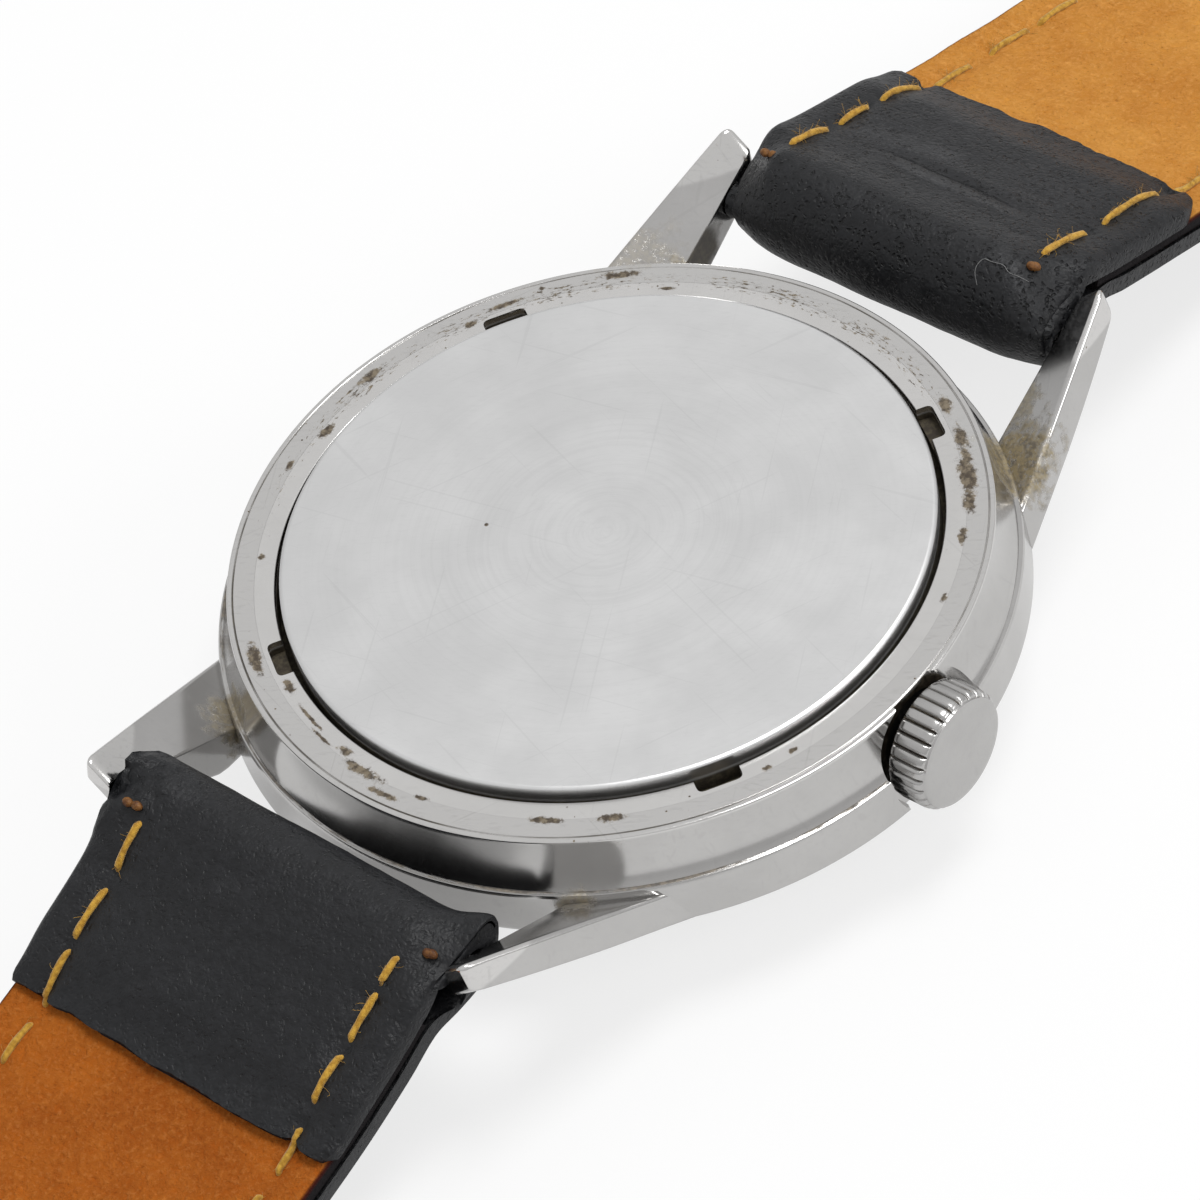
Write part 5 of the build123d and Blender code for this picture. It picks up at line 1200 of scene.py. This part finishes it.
def keeper(node, name, body):
    """A band of leather round the strap, with rounded corners."""
    low, high = (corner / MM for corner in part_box(node))
    left, right = low.x + keeper_half, high.x - keeper_half
    bottom, top = low.z + keeper_half, high.z - keeper_half
    corners = [(x, z, keeper_corner) for x, z in ((left, bottom), (right, bottom), (right, top), (left, top))]
    middle, half_length = (low.y + high.y) / 2, (high.y - low.y) / 2
    outline = []
    ring = rounded(corners, 8)
    for a, b in zip(ring, ring[1:] + ring[:1]):
        steps = max(1, round(hypot(b[0] - a[0], b[1] - a[1]) / 0.9))
        outline += [Vector((a[0] + (b[0] - a[0]) * k / steps, middle, a[1] + (b[1] - a[1]) * k / steps))
                    for k in range(steps)]
    band = tube(outline, boxy(half_length, keeper_half - 0.02, 6), 36, Vector((0, 1, 0)), True)
    piece = mesh_piece(name, *band, body, strap_leather, creases=60)
    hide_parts(node)


keeper("fixed_keeper", "keeper_fixed", "strap_12")
keeper("free_keeper", "keeper_free", "free_keeper")

# ---------------------------------------------------------------- movement, dial and hands
def plate_metal():
    """Nickel plate with broad decorative stripes."""
    s = Shader("plate_metal", Metallic=1.0)
    stripe = s.math("PINGPONG", s.x * 0.72 + s.y * 0.5, 0.62)
    brushed = s.noise(1.0, 3, 0.6, s.stretched((7.0, 0.5, 1.0), -55))
    tone = s.blend(s.band(stripe, 0.0, 0.62), (0.60, 0.585, 0.54), (0.72, 0.70, 0.65))
    s.set("Base Color", s.blend(s.hairs((20, 95)) * 0.3, tone, grey(0.4)))
    s.set("Roughness", s.band(brushed, 0.2, 0.8, 0.2, 0.36))
    s.bump(stripe, 0.02)
    s.bump(brushed, 0.003)
    return s.material


def dial_face():
    """Aged cream lacquer with a printed minute track and a track round the small seconds."""
    s = Shader("dial_face", Specular_IOR_Level=0.35)
    aged = s.blend(s.band(s.noise(0.25, 5, 0.65), 0.3, 0.7), (0.72, 0.68, 0.57), (0.60, 0.55, 0.42))
    aged = s.blend(s.fall(s.cells(0.5), 0.03, 0.06) * 0.5, aged, (0.25, 0.19, 0.1))
    tracks = []
    for centre_y, inner, outer in ((0, 11.9, 12.4), (seconds_y, 2.55, 2.95)):
        offset = s.vector("MULTIPLY", s.vector("SUBTRACT", s.place, (0, centre_y, 0)), (1, 1, 0))
        radius = s.vector("LENGTH", offset)
        turn = s.math("ARCTAN2", s.part(offset, 1), s.part(offset, 0))
        share = s.math("PINGPONG", turn * (60 / (2 * pi)), 0.5)
        width = 0.045 * 60 / (2 * pi * outer)
        tracks += [s.fall(share, width, 2 * width) * s.within(radius, inner, outer, 0.03),
                   s.within(radius, outer - 0.02, outer + 0.02, 0.03)]
    s.set("Base Color", s.blend(most(tracks), aged, grey(0.02)))
    s.set("Roughness", s.band(s.noise(3.0, 4), 0.2, 0.8, 0.42, 0.6))
    s.bump(s.noise(10.0, 3), 0.006)
    return s.material


seconds_y = sum(corner.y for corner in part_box("fourth_wheel")) / 2 / MM
finishes = {
    "case_steel": case_steel, "back_steel": back_steel, "crystal": glass.material,
    "strap_leather": strap_leather, "strap_lining": strap_lining, "buckle_steel": buckle_steel,
    "works_steel": clean_steel("works_steel", 0.55, 0.16), "hand_metal": clean_steel("hand_metal", 0.66, 0.1),
    "plate_metal": plate_metal(), "dial_face": dial_face(),
    "wheel_brass": mottled("wheel_brass", (0.9, 4, 0.6), (0.66, 0.45, 0.17), (0.80, 0.60, 0.28),
                           ((12.0,), 0.004), ((0.9, 4, 0.6), 0.2, 0.34), Metallic=1.0),
    "spring_steel": mottled("spring_steel", (0.7,), (0.045, 0.07, 0.20), (0.09, 0.10, 0.26),
                            gloss=((6.0,), 0.18, 0.3), Metallic=1.0),
    "jewel": mottled("jewel", (2.0,), (0.42, 0.006, 0.05), (0.6, 0.02, 0.11), ((5.0, 2), 0.004),
                     Roughness=0.06, IOR=1.77, Transmission_Weight=0.35),
    "seal": mottled("seal", (1.5, 4), grey(0.014), grey(0.035), ((8.0,), 0.02), ((5.0,), 0.6, 0.8),
                    Specular_IOR_Level=0.3),
}
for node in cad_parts.values():
    for holder in node.material_slots:
        holder.material = finishes[holder.material.name.split(".")[0]]

# ---------------------------------------------------------------- floor and light
floor_mesh = bpy.data.meshes.new("floor")
floor_half, floor_z = 2, -0.00005
corners = [(x * floor_half, y * floor_half, floor_z) for x, y in ((-1, -1), (1, -1), (1, 1), (-1, 1))]
floor_mesh.from_pydata(corners, [], [(0, 1, 2, 3)])
floor = placed("floor", floor_mesh)
paper = bpy.data.materials.new("paper")
nodes = Nodes(paper, "ShaderNodeOutputMaterial")
matt = nodes.node("ShaderNodeBsdfDiffuse", {"Color": (0.9, 0.9, 0.9, 1)})
glow = nodes.node("ShaderNodeEmission")
nodes.mix(nodes.ray("Camera") * 0.75 + nodes.ray("Glossy") * 0.4, matt, glow)
floor.data.materials.append(paper)

world = bpy.data.worlds.new("studio")
bpy.context.scene.world = world
nodes = Nodes(world, "ShaderNodeOutputWorld")
slope = nodes.node("ShaderNodeMapRange", {
    "Value": nodes.part(nodes.node("ShaderNodeTexCoord", output="Generated"), 2),
    "From Min": 0.0, "From Max": 0.6, "To Min": 0.72, "To Max": 1.0})
sky = nodes.node("ShaderNodeBackground", {"Color": (1, 1, 1, 1), "Strength": 0.55})
backdrop = nodes.node("ShaderNodeBackground", {"Strength": slope})
nodes.mix(nodes.ray("Camera") | nodes.ray("Glossy") | nodes.ray("Transmission"), sky, backdrop)


def lamp(name, place, size, power):
    """A round lamp that shines at the middle of the watch."""
    data = bpy.data.lights.new(name, "AREA")
    data.shape = "DISK"
    data.size = size
    data.energy = power
    place = Vector(place)
    turn = (-place).to_track_quat("-Z", "Y").to_matrix().to_4x4()
    placed(name, data).matrix_world = Matrix.Translation(place) @ turn


lamp("key", (0.08, 0.16, 0.57), 0.26, 1.8)
lamp("fill", (0.55, 0.25, 0.35), 0.3, 0.9)
